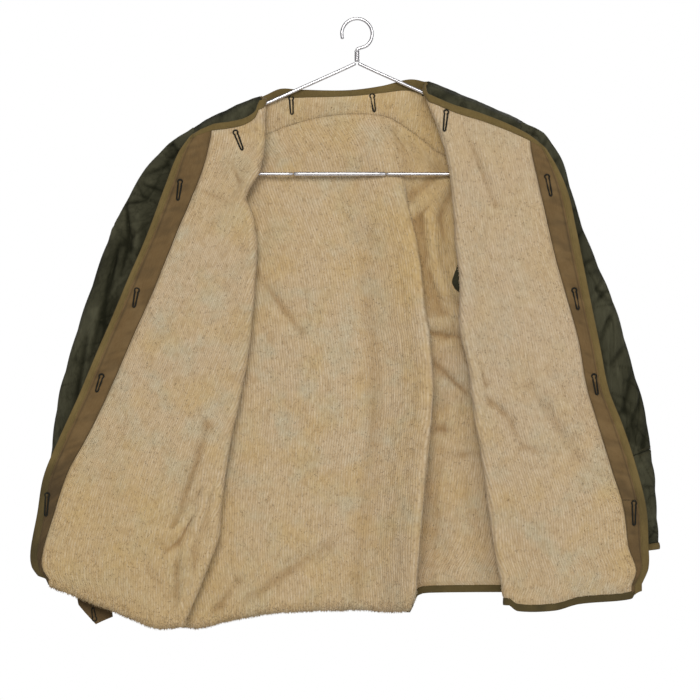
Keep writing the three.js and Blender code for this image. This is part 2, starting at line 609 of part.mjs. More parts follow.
function addBack() {
  const { surface, neckAt } = backSurface();
  const below = (u, t) => surface(u, t + (YOKE_T - t) / YOKE_T * BACK_TAPE_T * neckAt(u));
  const neckUs = [...spread(0.53, 1, 4), 1.2, 1.38, 1.54, 1.66, 1.74, 1.82, 1.9, 2, 2.11, 2.225];
  const us = [0, 0.012, 0.04, 0.12, 0.32, ...neckUs, 2.42, 2.65, 2.88, 2.96, 3];
  const pile = (u, t) => {
    const fromSides = Math.min(u * SIDE_SPAN.backLeft, (3 - u) * SIDE_SPAN.backRight);
    const fromSeam = Math.abs(t - YOKE_T) * SPAN + 4;
    const fromHem = (hemTape - t) * UNITS_PAST_HEM + PRESSED;
    return pileAt(Math.min(fromSides, fromSeam, t * SPAN + 1, fromHem));
  };
  const yokeRows = [0, 0.005, 0.0133, 0.028, 0.04, YOKE_T - GAP_T];
  const evenRows = [...spread(0.09, 0.965, 18), ...ARMHOLE_FOOT].sort((a, b) => a - b);
  const backRows = [YOKE_T + GAP_T, 0.062, ...evenRows, 1, 1.04, hemTape - GAP_T * 10];
  add('yoke', layer(below, us, yokeRows, -1, flat(-CLOTH.shell), pile), FINISH.pile());
  add('back', layer(surface, us, backRows, -1, flat(-CLOTH.shell), pile), FINISH.pile());
  const bend = neckCrown(BACK_TAPE_T);
  add('neck_tape_back', layer(surface, neckUs, neckRows(BACK_TAPE_T), -1,
    (u, t) => -CLOTH.shell - bend(u, t), (u, t) => CLOTH.bound + 0.6 + bend(u, t)), FINISH.tape());
  add('hem_tape_back', layer(surface, us, HEM_TAPE_ROWS, -1,
    (u, t) => -CLOTH.shell - hemCrown(t), (u, t) => HEM_TAPE_TOP + hemCrown(t)), FINISH.tape());
}

// ---------------------------------------------------------------- sleeves, cuffs and tabs
/** A sleeve: u 0..1 runs round it from its outer edge, v from the armhole (0) to the cuff (1). */
function sleeveSurface(sign, rows, side) {
  const ring = tracks(rows, 'v', ['outX', 'outZ', 'inX', 'inZ', 'half', 'y']);
  const hole = tracks(side, 't', ['frontX', 'frontZ', 'backX', 'backZ']);
  const start = rows[1].v;
  const past = (v, name) => {
    const line = ring[name];
    return v <= 1 ? line(v) : line(1) + ((v - 1) / 0.05) * (line(1) - line(0.95));
  };
  const free = (u, v) => {
    const angle = u * 2 * Math.PI;
    const f = (1 - Math.cos(angle)) / 2;
    const bulge = -sign * Math.sign(Math.sin(angle)) * Math.abs(Math.sin(angle)) ** 0.8;
    return new THREE.Vector3(
      mix(past(v, 'outX'), past(v, 'inX'), f),
      ring.y(v) + ring.half(v) * bulge,
      mix(past(v, 'outZ'), past(v, 'inZ'), f),
    );
  };
  const sewn = (u) => {
    const angle = u * 2 * Math.PI;
    const t = (UNDERARM * (1 - Math.cos(angle))) / 2;
    const toBack = -sign * Math.sin(angle) > 0;
    const name = toBack ? 'back' : 'front';
    const y = toBack ? DEPTH.back : DEPTH.under;
    const ends = Math.min(Math.abs(Math.sin(angle)) * 1.6, 1);
    const mid = t < UNDERARM / 2 ? 0 : DEPTH.seam;
    const at = new THREE.Vector3(hole[`${name}X`](t), mix(mid, y, Math.sqrt(ends)), hole[`${name}Z`](t));
    const way = free(u, start).sub(at);
    const gap = mix(ARMHOLE_GAP.side, ARMHOLE_GAP.under, ease((t / UNDERARM - 0.6) / 0.3));
    at.x += (sign * gap) / 2;
    return at.addScaledVector(way.normalize(), gap);
  };
  return (u, v) => (v < start ? sewn(u).lerp(free(u, start), v / start) : free(u, v));
}

function addSleeve(name, sign, rows, side) {
  const surface = sleeveSurface(sign, rows, side);
  const around = spread(0, 1, SLEEVE.sides).slice(0, -1);
  const half = SLEEVE.wall / 2;
  const tapeV = 1 - SLEEVE.cuffTape / SLEEVE.length;
  // Quilting lines cross each other on the slant, so the cloth puffs up in diamonds between them.
  const puffed = (u, v) => {
    const a = (v * SLEEVE.length + u * SLEEVE.girth) / SLEEVE.quilt;
    const b = (v * SLEEVE.length - u * SLEEVE.girth) / SLEEVE.quilt;
    const fade = ease(v / 0.03) * ease(Math.abs(v - SLEEVE.seamAt) / 0.02) * ease((0.985 - v) / 0.02);
    return half + SLEEVE.pucker * fade * Math.abs(Math.sin(a * Math.PI) * Math.sin(b * Math.PI));
  };
  const tube = (part, vs, low, high, finish) => {
    add(`${part}_${name}`, wall(surface, around, vs, low, high, true), finish);
  };
  const upper = [0, 0.025, ...spread(rows[1].v, SLEEVE.seamAt - 0.03, 12), SLEEVE.seamAt - SLEEVE.seamGap];
  const lower = [SLEEVE.seamAt + SLEEVE.seamGap, ...spread(SLEEVE.seamAt + 0.03, tapeV - 0.02, 5),
    tapeV - SLEEVE.seamGap];
  tube('sleeve', upper, flat(-half), puffed, FINISH.nylon());
  tube('forearm', lower, flat(-half), puffed, FINISH.nylon());
  tube('cuff_tape', [tapeV, mix(tapeV, 1, 0.5), 1], flat(-half - 0.3),
    (u, v) => half + (v > tapeV && v < 1 ? 1 : 0.4), FINISH.tape());
  addCuffTab(name, surface, sign);
}

/** A pointed tab sewn inside the back of a cuff, hanging below it. */
function addCuffTab(name, surface, sign) {
  const { left, right } = CUFF_TAB.around;
  const centre = sign < 0 ? left : 1 - right;
  const tab = (a, b) => {
    const reach = mix(CUFF_TAB.shoulder, CUFF_TAB.length, 1 - Math.abs(2 * a - 1));
    const below = b * (reach + CUFF_TAB.inside) - CUFF_TAB.inside;
    const across = (0.5 - a) * (CUFF_TAB.width / SLEEVE.cuffGirth);
    return surface(centre + sign * across, 1 + below / SLEEVE.length);
  };
  const away = SLEEVE.wall / 2 + 1.2;
  const low = flat(-away - CUFF_TAB.thick);
  add(`cuff_tab_${name}`, wall(tab, spread(0, 1, 6), spread(0, 1, 4), low, flat(-away)), FINISH.twill());
}

// ---------------------------------------------------------------- hanger
/** Round wire along a path. */
function wire(points, radius, steps, tension = 0.5) {
  const path = new THREE.CatmullRomCurve3(points, false, 'centripetal', tension);
  const round = new THREE.Shape();
  round.absarc(0, 0, radius, 0, 2 * Math.PI);
  return new THREE.ExtrudeGeometry(round, { steps, extrudePath: path, curveSegments: WIRE.sides });
}
const inPlane = (...pairs) => pairs.map(([x, z]) => new THREE.Vector3(x, 0, z));

/** The hook: most of a circle, then a short shank down to the twisted neck. */
function addHook() {
  const r = HANGER.hookRadius;
  const centre = WIRE.radius - r;
  const onHook = (degrees) => {
    const angle = THREE.MathUtils.degToRad(degrees);
    return [r * Math.cos(angle), centre + r * Math.sin(angle)];
  };
  const turns = spread(HANGER.hookFrom, HANGER.hookTo, 12).map(onHook);
  const shank = [[0, HANGER.shankTop], [0.6, HANGER.shankTop + 2]];
  add('hanger_hook', wire(inPlane(...shank, ...turns), WIRE.radius, 28), FINISH.wire());
}

/** The two wires wound round each other below the hook. */
function addNeck() {
  const top = HANGER.shankTop - 0.6;
  const foot = HANGER.apexZ + 3;
  const wave = (f, i) => new THREE.Vector2(HANGER.neckRadius - 0.5 * (i % 2), mix(foot, top, f));
  const outline = [new THREE.Vector2(0, foot), ...spread(0, 1, 6).map(wave), new THREE.Vector2(0, top)];
  const neck = new THREE.LatheGeometry(outline, 12);
  neck.rotateX(quarter);
  add('hanger_neck', neck, FINISH.wire());
}

/** One arm, from the neck along the shoulder and round the corner to the bar. */
function addArm(name, sign) {
  const { apexZ, shoulderX, shoulderZ, endX, barZ } = HANGER;
  const slopeAt = (x) => mix(apexZ, shoulderZ, x / shoulderX);
  const path = inPlane(
    [sign * 3, apexZ - 1], [sign * 20, slopeAt(20)], [sign * 100, slopeAt(100)], [sign * 165, slopeAt(165)],
    [sign * shoulderX, shoulderZ - 3], [sign * (endX - 3), shoulderZ - 18], [sign * endX, shoulderZ - 36],
    [sign * (endX - 2), barZ + 14], [sign * (endX - 12), barZ + 2], [sign * (endX - 24), barZ],
  );
  add(`hanger_arm_${name}`, wire(path, WIRE.radius, 26), FINISH.wire());
}

/** A stretch of the bar along x. */
function addBar(name, from, to, radius) {
  const rod = new THREE.CylinderGeometry(radius, radius, to - from, WIRE.sides * 2 + 4, 1);
  rod.rotateZ(quarter);
  rod.translate((from + to) / 2, 0, HANGER.barZ);
  add(`hanger_bar_${name}`, rod, FINISH.wire());
}

function addHanger() {
  const barEnd = HANGER.endX - 24.4;
  addHook();
  addNeck();
  addArm('left', -1);
  addArm('right', 1);
  addBar('left', -barEnd, HANGER.sleeveFrom - 0.3, WIRE.radius);
  addBar('sleeve', HANGER.sleeveFrom, HANGER.sleeveTo, HANGER.sleeveRadius);
  addBar('right', HANGER.sleeveTo + 0.3, barEnd, WIRE.radius);
}

addBack();
addFront('left', FRONTS.left);
addFront('right', FRONTS.right);
addSleeve('left', -1, LEFT_SLEEVE, LEFT_SIDE);
addSleeve('right', 1, RIGHT_SLEEVE, RIGHT_SIDE);
addHanger();

export default liner;
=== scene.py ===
"""A pile-lined quilted jacket liner, hung open on a wire hanger with both fronts turned outwards.

The cloth is laid out from the same sizes and tables of the cut as the part's solids, in millimetres, on
finer grids, and every piece is finished here: ribbed pile with its tufts, quilted nylon, twill facings,
bound edges, stitches, keyhole buttonholes and bright wire. Left and right are the viewer's.
"""
import logging
import math
from dataclasses import dataclass
from enum import Enum
from typing import Callable, Dict, List, Optional, Sequence, Tuple, Union

import bpy
import numpy as np
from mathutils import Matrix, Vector


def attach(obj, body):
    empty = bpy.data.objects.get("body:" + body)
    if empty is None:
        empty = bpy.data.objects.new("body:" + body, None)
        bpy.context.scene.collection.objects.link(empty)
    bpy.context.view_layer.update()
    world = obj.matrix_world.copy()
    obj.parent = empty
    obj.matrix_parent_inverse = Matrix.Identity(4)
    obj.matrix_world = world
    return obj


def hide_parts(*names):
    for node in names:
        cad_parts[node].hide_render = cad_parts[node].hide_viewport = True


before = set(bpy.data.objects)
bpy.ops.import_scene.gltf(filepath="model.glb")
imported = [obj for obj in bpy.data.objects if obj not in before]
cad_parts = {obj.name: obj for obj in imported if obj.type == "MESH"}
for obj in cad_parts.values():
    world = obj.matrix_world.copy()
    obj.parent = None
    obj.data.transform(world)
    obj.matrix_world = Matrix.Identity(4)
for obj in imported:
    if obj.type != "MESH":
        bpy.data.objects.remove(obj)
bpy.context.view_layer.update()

log = logging.getLogger("liner")
Array = np.ndarray
Colour = Tuple[float, float, float]
HeightRule = Callable[["Grid"], Union[Array, float]]

MM = 0.001
BODY = "root"
UV_NAME = "cloth"
NAP_NAME = "nap"          # 1 where a face carries pile tufts
# The hollow attribute carries painted shade in folds, painted highlight on nylon ridges at -1, and soil on twill and
# tape
SHADE_AND_SOIL_NAME = "hollow"    # 1 in the depth of a fold
UP_NAME = "up"            # a thread path's direction away from the cloth

# ------------------------------------------------------------------------------ sizes, in millimetres
SHELL, PILE, BOUND = 1.6, 4.2, 1.4
SEAM_GAP, SHOULDER_GAP = 0.5, 1.8
ARMHOLE_GAP_SIDE, ARMHOLE_GAP_UNDER = 1.7, 2.8
TAPE_WIDTH, TAPE_CROWN = 9.0, 0.9
FACING_THICK, FACING_LIFT, FACING_WELL = 1.1, 0.35, 1.6
FACING_FROM_U, FACING_SEAM_T = 2.846, 0.8
FOLD_RADIUS = 6.0
HEM_RADIUS, HEM_TAPE_FROM, HEM_LENGTH, HEM_UNROLLED = 7.0, 8.6, 18.0, 0.55
NECK_TAPE_T, BACK_TAPE_T, YOKE_T, YOKE_FADE = 0.015, 0.0095, 0.05, 0.14
NECK_LEFT, NECK_RIGHT, NECK_BLEND, NECK_STAND = -132.0, 92.0, 5.0, 2.5
SHOULDER_T, TOP_REACH_T, HEM_REACH_T = 0.08, 0.16, 0.2
SPAN, PAST_HEM = 600.0, 100.0
DEPTH_BACK, DEPTH_UNDER, DEPTH_UPPER, DEPTH_SEAM = 10.0, -7.2, -19.2, 3.0
EDGE_TURN = 8.0
UNDERARM = 0.38
GAP_U, GAP_T = 0.0045, 0.0008
HEM_TAPE_T, HEM_END_T = 1 + HEM_TAPE_FROM / PAST_HEM, 1 + HEM_LENGTH / PAST_HEM
FACE = FACING_WELL + FACING_LIFT + FACING_THICK
TAPE_TOP = FACE + 0.2
TUCK_U, TUCK_NECK, TUCK_HEM = 0.012, 0.003, 0.012     # how far a tape reaches over the cloth beside it
HEM_TAPE_TOP = BOUND + 0.4
PILE_ROLL = (1.3, 0.0)             # gain and shift of the pile's cloth past a rolled hem
TAPE_ROLL = (0.6, 7.6)             # the same of its tape, which lies behind the roll
SLEEVE_WALL, SLEEVE_PUCKER, SLEEVE_QUILT = 3.2, 1.3, 52.0
SLEEVE_SEAM, SLEEVE_LENGTH, SLEEVE_GIRTH = 0.7, 640.0, 350.0
CUFF_TAPE_V = 1 - 15 / SLEEVE_LENGTH
WALE = 3.5                # from one rib of the pile to the next
TUFT_WIDTH = 0.9
TUFTS = 52000.0           # tufts for one square metre of pile
EYELET = 3.2              # a buttonhole's eyelet, to the middle of the stitches
SLIT_HEAD, SLIT_FOOT = 2.5, 1.6    # half a buttonhole's slit at its eyelet and at its far end


class Side(Enum):
    """A side of the garment as the viewer sees it; the value is the sign of its x."""

    LEFT = -1
    RIGHT = 1

    @property
    def word(self) -> str:
        """The side's name in the names of its pieces."""
        return self.name.lower()


# ------------------------------------------------------------------------------ small maths
def mix(a: Array, b: Array, f: Array) -> Array:
    """The value a share f of the way from a to b."""
    return a + (b - a) * f


def ease(f: Array) -> Array:
    """A smooth step from 0 to 1 over f from 0 to 1."""
    f = np.clip(f, 0.0, 1.0)
    return f * f * (3 - 2 * f)


def xyz(x: Array, y: Array, z: Array) -> Array:
    """Three arrays stacked into one of points."""
    return np.stack(np.broadcast_arrays(x, y, z), axis=-1).astype(float)


def wave_noise(x: Array, y: Array, seed: int) -> Array:
    """Smooth random values from -1 to 1 that change over about one unit.

    Args:
        x: First coordinate, in cells.
        y: Second coordinate, in cells.
        seed: Fixes the pattern.

    Returns:
        One value for each point.
    """
    size = 256
    values = np.random.default_rng(seed).uniform(-1, 1, (size, size))
    i, j = np.floor(x).astype(int), np.floor(y).astype(int)
    fx, fy = ease(x - i), ease(y - j)

    def at(di: int, dj: int) -> Array:
        """The value at a corner of each point's cell."""
        return values[(i + di) % size, (j + dj) % size]

    return mix(mix(at(0, 0), at(1, 0), fx), mix(at(0, 1), at(1, 1), fx), fy)


class Table:
    """Rows of sizes under named columns."""

    def __init__(self, names: str, *rows: Sequence[float]) -> None:
        """Stores the rows as one array for each name.

        Args:
            names: The columns' names, parted by spaces.
            *rows: One row of numbers each.
        """
        self.columns: Dict[str, Array] = dict(zip(names.split(), np.array(rows, dtype=float).T))
        self.key = names.split()[0]

    def track(self, name: str) -> Callable[[Array], Array]:
        """A smooth line through one column, read at any value of the first column.

        Args:
            name: The column.

        Returns:
            A function from keys to values.
        """
        key, value = self.columns[self.key], self.columns[name]
        near = np.pad(key, 1, mode="edge")
        padded = np.pad(value, 1, mode="edge")
        slope = (padded[2:] - padded[:-2]) / (near[2:] - near[:-2])

        def read(at: Array) -> Array:
            """The column's value where the key column has the given one."""
            at = np.asarray(at, dtype=float)
            i = np.clip(np.searchsorted(key, at) - 1, 0, len(key) - 2)
            span = key[i + 1] - key[i]
            f = np.clip((at - key[i]) / span, 0, 1)
            bend = f * (1 - f) * span * ((1 - f) * slope[i] - f * slope[i + 1])
            return mix(value[i], value[i + 1], ease(f)) + bend

        return read

    def rows(self) -> List[Dict[str, float]]:
        """The rows, each by its columns' names."""
        return [dict(zip(self.columns, row)) for row in zip(*self.columns.values())]


# ------------------------------------------------------------------------------ tables of the cut
# t runs from the shoulder (0) to the hem (1); x and z are in elevation, y is a layer's depth.
LEFT_FRONT = Table(
    "t foldX foldZ edgeX edgeZ facing yMid yEdge",
    (0.00, -124, -112, -230, -163, 36, -16, -15), (0.05, -126, -145, -246, -185, 47, -18, -17),
    (0.12, -127, -178, -263, -228, 56, -21, -20), (0.20, -136, -213, -283, -283, 60, -24, -24),
    (0.25, -152, -243, -297, -318, 61, -26, -25), (0.30, -143, -270, -312, -352, 61, -27, -26),
    (0.38, -137, -315, -334, -405, 60, -28, -27), (0.46, -141, -370, -357, -458, 56, -29, -27),
    (0.55, -147, -440, -382, -518, 51, -29, -28), (0.64, -159, -515, -409, -577, 46, -29, -29),
    (0.73, -175, -587, -430, -628, 35, -28, -28), (0.82, -185, -660, -439, -680, 24, -27, -27),
    (0.90, -191, -716, -448, -728, 17, -24, -25), (0.96, -214, -775, -447, -751, 13.5, -20, -22),
    (1.00, -234, -822, -438, -764, 13, -15, -18),
)
RIGHT_FRONT = Table(
    "t foldX foldZ edgeX edgeZ facing yMid yEdge",
    (0.00, 88, -103, 260, -179, 24, -16, -15), (0.05, 105, -138, 276, -206, 39, -18, -17),
    (0.12, 120, -178, 290, -240, 46, -22, -20), (0.20, 130, -235, 300, -285, 44, -25, -24),
    (0.30, 135, -305, 311, -340, 40, -27, -26), (0.38, 141, -365, 321, -390, 34, -28, -27),
    (0.46, 140, -420, 333, -448, 30, -29, -27), (0.55, 152, -478, 345, -508, 32, -29, -28),
    (0.64, 160, -540, 365, -560, 36, -29, -29), (0.73, 170, -600, 383, -615, 37, -28, -28),
    (0.82, 180, -672, 397, -672, 32, -27, -26), (0.90, 189, -733, 400, -722, 27, -26, -25),
    (0.96, 196, -768, 400, -754, 16, -25, -25), (1.00, 199, -788, 391, -776, 13, -24, -24),
)
LEFT_SIDE = Table(
    "t frontX frontZ backX backZ",
    (0.00, -227, -151, -227, -151), (0.05, -219, -178, -218, -178), (0.12, -211, -215, -208, -215),
    (0.20, -207, -266, -203, -266), (0.30, -208, -335, -205, -335), (0.38, -214, -390, -214, -390),
    (0.55, -224, -505, -224, -505), (0.73, -237, -640, -237, -640), (0.90, -246, -760, -246, -760),
    (1.00, -254, -822, -254, -822),
)
RIGHT_SIDE = Table(
    "t frontX frontZ backX backZ",
    (0.00, 228, -142, 228, -142), (0.05, 221, -168, 178, -204), (0.12, 213, -208, 160, -240),
    (0.20, 206, -264, 154, -283), (0.30, 198, -336, 146, -335), (0.35, 194, -372, 140, -372),
    (0.38, 192, -393, 192, -393), (0.46, 198, -440, 198, -440), (0.55, 206, -500, 206, -500),
    (0.64, 218, -565, 218, -565), (0.73, 231, -630, 231, -630), (0.90, 250, -735, 250, -735),
    (1.00, 262, -772, 262, -772),
)
BACK_FOLD = Table(
    "t x z rise hollow y",
    (0.00, 30, -91, 0, 0, 10), (0.05, 26, -130, 1, 0, 14), (0.12, 47, -168, 6, 1, 17),
    (0.17, 57, -207, 8, 1, 17), (0.22, 67, -252, 12, 2, 16), (0.30, 82, -325, 18, 4, 14),
    (0.38, 90, -395, 22, 5, 12), (0.46, 98, -450, 25, 5, 11), (0.55, 101, -515, 28, 5, 10),
    (0.64, 97, -572, 30, 5, 10), (0.73, 90, -635, 32, 5, 10), (0.82, 85, -692, 34, 5, 10),
    (0.90, 81, -740, 36, 5, 10), (1.00, 77, -785, 38, 5, 10),
)
FOLD_SECTION = Table(
    "u dx rise",
    (0.00, -78, 0.00), (0.20, -50, 0.20), (0.38, -28, 0.55), (0.54, -11, 0.90), (0.66, -2, 0.98),
    (0.74, 0, 0.80), (0.82, -5, 0.45), (0.88, -5, 0.16), (0.94, 6, 0.00), (1.00, 22, 0.00),
)
BACK_TOP = Table(
    "x z",
    (-227, -151), (-190, -130), (-127, -103), (-106, -94), (-81, -95), (-14, -96), (34, -90), (72, -81),
    (95, -85), (145, -105), (213, -134), (228, -142),
)
YOKE_SEAM = Table(
    "x z",
    (-219, -179), (-124, -156), (-98, -146), (-55, -134), (-14, -129), (34, -131), (56, -140), (95, -168),
    (114, -183), (178, -204),
)
BACK_HEM = Table(
    "x z",
    (-238, -828), (-218, -829), (-163, -816), (-110, -808), (-10, -804), (68, -803), (76, -788),
    (83, -777), (100, -773), (262, -772),
)
LEFT_NECK = Table(
    "s x z",
    (0.00, -124, -112), (0.12, -130, -126), (0.26, -146, -136), (0.45, -168, -141), (0.68, -196, -145),
    (0.88, -219, -155), (1.00, -230, -163),
)
RIGHT_NECK = Table(
    "s x z",
    (0.00, 88, -103), (0.20, 122, -117), (0.44, 163, -129), (0.70, 206, -145), (0.88, 238, -161),
    (1.00, 260, -179),
)
LEFT_HEM = Table(
    "s x z",
    (0.00, -234, -826), (0.20, -270, -827), (0.42, -312, -811), (0.62, -353, -796), (0.82, -397, -779),
    (1.00, -438, -764),
)
RIGHT_HEM = Table(
    "s x z",
    (0.00, 199, -788), (0.08, 212, -796), (0.35, 265, -795), (0.55, 300, -786), (0.86, 362, -781),
    (1.00, 391, -776),
)
BACK_CREASES = Table(
    "x1 z1 x2 z2 depth width",
    (-139, -350, -78, -430, 3.5, 10), (-150, -335, -92, -436, -2.0, 16), (-211, -833, -165, -776, 4.0, 11),
    (-181, -818, -43, -727, 4.0, 13), (-165, -835, -30, -760, -3.0, 16), (-60, -250, -20, -560, -2.5, 38),
    (20, -300, 38, -760, 2.5, 24), (127, -221, 78, -262, -5.0, 9),
    (82, -262, 88, -292, 2.6, 9), (112, -250, 124, -318, 3.6, 9),
    (121, -232, 101, -270, -4.0, 8), (101, -270, 106, -336, -4.5, 8), (106, -336, 134, -402, -4.0, 8),
    (100, -418, 140, -420, -4.0, 9), (97, -433, 142, -436, 3.4, 6), (99, -466, 150, -514, 3.6, 7),
    (101, -563, 130, -566, 2.5, 7), (128, -602, 166, -598, 2.5, 7), (125, -640, 150, -760, -3.0, 14),
)
LEFT_CREASES = Table(
    "x1 z1 x2 z2 depth width",
    (-196, -634, -258, -724, -5.0, 5), (-206, -560, -250, -695, 5.0, 10), (-200, -636, -192, -668, 3.6, 5),
    (-192, -668, -200, -698, 3.8, 5), (-202, -646, -232, -722, -4.4, 4.5), (-214, -650, -244, -722, 3.4, 5),
    (-276, -722, -236, -722, 3.2, 6), (-230, -683, -249, -715, 3.6, 5), (-249, -715, -268, -738, 3.2, 6),
    (-236, -722, -233, -776, -5.0, 5), (-233, -776, -243, -832, -5.0, 5), (-248, -734, -250, -780, 1.8, 6),
    (-290, -736, -266, -800, 1.8, 14), (-258, -778, -246, -798, 1.8, 14),
    (-160, -240, -215, -300, 2.0, 14), (-290, -560, -330, -760, -2.5, 26), (-240, -330, -300, -520, -2.0, 30),
    (-171, -200, -157, -237, 2.8, 7), (-220, -234, -181, -250, 2.0, 6),
)
RIGHT_CREASES = Table(
    "x1 z1 x2 z2 depth width",
    (150, -462, 176, -502, 3.0, 8), (170, -516, 214, -550, 3.0, 9), (246, -488, 286, -537, -3.5, 11),
    (286, -537, 328, -604, -3.5, 11), (236, -505, 300, -600, 3.0, 13), (204, -544, 228, -588, 2.5, 9),
    (228, -588, 256, -592, 2.5, 9), (240, -640, 300, -760, -2.0, 24),
    (146, -146, 190, -256, 3.2, 8), (160, -150, 206, -250, -2.4, 9),
)
LEFT_SLEEVE = Table(
    "v outX outZ inX inZ half y",
    (0.000, -229, -152, -215, -391, 8, 3), (0.055, -258, -172, -218, -398, 12, 3),
    (0.110, -288, -204, -222, -408, 15, 4), (0.170, -317, -251, -228, -424, 17, 4),
    (0.250, -345, -312, -236, -448, 18, 4), (0.330, -366, -372, -246, -480, 18, 4),
    (0.430, -389, -446, -257, -526, 18, 4), (0.530, -408, -512, -266, -572, 17, 4),
    (0.630, -418, -578, -273, -622, 16, 4), (0.700, -421, -622, -277, -658, 16, 4),
    (0.800, -419, -682, -279, -716, 15, 4), (0.900, -411, -735, -278, -770, 14, 4),
    (1.000, -402, -780, -275, -820, 13, 4),
)
RIGHT_SLEEVE = Table(
    "v outX outZ inX inZ half y",
    (0.000, 229, -143, 195, -396, 8, 3), (0.055, 256, -157, 199, -403, 12, 4),
    (0.110, 279, -190, 204, -414, 15, 5), (0.170, 294, -235, 211, -430, 17, 5),
    (0.250, 312, -292, 222, -452, 18, 5), (0.330, 333, -344, 234, -480, 18, 5),
    (0.430, 356, -402, 247, -516, 18, 5), (0.530, 375, -468, 259, -560, 17, 5),
    (0.630, 396, -540, 268, -606, 16, 4), (0.700, 404, -592, 273, -640, 16, 4),
    (0.800, 410, -642, 278, -680, 15, 4), (0.900, 412, -690, 282, -712, 14, 4),
    (1.000, 416, -730, 286, -744, 13, 4),
)
# Thin creases of the sleeves' nylon, in elevation; the same ones are met from both sides.
LEFT_SLEEVE_CREASES = Table(
    "x1 z1 x2 z2 depth width",
    (-318, -253, -290, -250, 2.0, 2.1), (-318, -253, -312, -320, 2.8, 2.4),
    (-296, -226, -268, -236, 1.8, 2.4),
    (-327, -306, -345, -372, 2.2, 2.7), (-312, -300, -325, -352, 2.0, 2.1),
    (-332, -330, -368, -470, 1.9, 3.6),
    (-345, -390, -352, -470, 1.8, 3.0), (-372, -440, -392, -560, 2.0, 3.6),
    (-356, -470, -378, -610, 1.8, 3.6),
    (-292, -290, -300, -360, 1.5, 3.6), (-260, -200, -292, -214, 1.8, 3.0),
    (-236, -175, -262, -196, 1.5, 3.0),
    (-330, -275, -338, -300, -1.5, 4.2), (-300, -270, -306, -330, -1.6, 4.2),
    (-360, -400, -380, -520, -1.5, 5.4),
    (-400, -560, -408, -660, 1.5, 3.6), (-260, -460, -300, -640, 1.8, 5.4),
    (-240, -410, -276, -560, 1.5, 4.8),
)
RIGHT_SLEEVE_CREASES = Table(
    "x1 z1 x2 z2 depth width",
    (245, -152, 236, -172, 2.0, 2.4), (262, -164, 248, -186, 2.0, 2.4), (278, -190, 262, -204, 1.8, 2.4),
    (292, -224, 276, -236, 2.0, 2.4), (300, -262, 282, -268, 1.9, 2.7), (310, -292, 294, -310, 1.9, 2.7),
    (325, -330, 306, -340, 1.8, 3.0), (345, -372, 326, -392, 1.9, 3.0), (352, -400, 336, -440, 1.8, 3.0),
    (372, -446, 350, -474, 1.9, 3.3), (380, -480, 366, -540, 1.9, 3.6), (392, -520, 376, -560, 1.8, 3.6),
    (400, -560, 388, -610, 1.8, 3.6), (230, -430, 290, -600, 1.6, 5.4), (214, -400, 262, -520, 1.5, 4.8),
)
# Keyhole buttonholes: the eyelet's middle and the far end of the slit, in elevation.
BACK_HOLES = Table("x1 z1 x2 z2", (-91, -107, -90, -128), (21, -104, 24, -124))
LEFT_HOLES = Table(
    "x1 z1 x2 z2",
    (-167, -156, -158, -179), (-243, -224, -246, -248), (-302, -373, -306, -395), (-350.5, -491, -357, -511),
    (-425, -654, -427, -681),
)
RIGHT_HOLES = Table(
    "x1 z1 x2 z2",
    (122.5, -128, 120, -153), (261, -217, 266, -242), (298, -373, 303, -398), (325, -491, 329, -515),
    (380, -665, 380, -694),
)


# ------------------------------------------------------------------------------ sewn surfaces
def crease_depth(creases: Table, x: Array, z: Array) -> Array:
    """How far the listed creases push points away from the viewer.

    Args:
        creases: Lines with their depth and width.
        x: The points' x.
        z: The points' z.

    Returns:
        One depth for each point, less than 0 on a ridge.
    """
    total = np.zeros(np.broadcast(x, z).shape)
    for c in creases.rows():
        dx, dz = c["x2"] - c["x1"], c["z2"] - c["z1"]
        along = np.clip(((x - c["x1"]) * dx + (z - c["z1"]) * dz) / (dx * dx + dz * dz), 0, 1)
        away = np.hypot(x - c["x1"] - along * dx, z - c["z1"] - along * dz) / c["width"]
        ends = 0.35 + 0.65 * np.sin(np.pi * np.clip(along, 0.12, 0.88))
        total = total + c["depth"] * ends * np.exp(-away * away)
    return total


def seam_turn(share: Array) -> Array:
    """1 at a seam and 0 from one turn inwards, along a quarter ellipse; it runs on evenly past 0."""
    inside = np.clip(np.abs(share), 0, 1)
    turned = 1 - np.sqrt(np.maximum(1 - (1 - inside) ** 2, 0))
    return np.where(share >= 0, turned, 2 - turned)


def hem_turn(past: Array, roll: Array) -> Tuple[Array, Array]:
    """Cloth past a hem line: straight down where roll is 0, rolled to the back where it is 1.

    Args:
        past: Millimetres past the line.
        roll: How far the cloth rolls, 0 to 1.

    Returns:
        What to add to y and to z.
    """
    bend = np.maximum(roll, 0.02) / HEM_RADIUS
    y, z = (1 - np.cos(bend * past)) / bend, -np.sin(bend * past) / bend
    return np.where(roll < 0.02, 0, y), np.where(roll < 0.02, -past, z)


def neck_share(x: Array) -> Array:
    """1 between the two neck points of the back's top edge, 0 along its shoulder seams."""
    return ease((x - NECK_LEFT + NECK_BLEND) / NECK_BLEND) * ease((NECK_RIGHT + NECK_BLEND - x) / NECK_BLEND)


def pile_height(distance: Array) -> Array:
    """The pile's height, pressed flat within a seam's reach."""
    return mix(BOUND, PILE, ease(distance / 10))


class Surface:
    """A sewn mid surface, read at arrays of its two parameters, in millimetres."""

    STEP = 0.002

    def point(self, u: Array, t: Array) -> Array:
        """The points at (u, t)."""
        raise NotImplementedError

    def normal(self, u: Array, t: Array) -> Array:
        """The unit normals at (u, t), by central differences."""
        du = self.point(u + self.STEP, t) - self.point(u - self.STEP, t)
        dt = self.point(u, t + self.STEP) - self.point(u, t - self.STEP)
        across = np.cross(du, dt)
        return across / np.linalg.norm(across, axis=-1, keepdims=True)


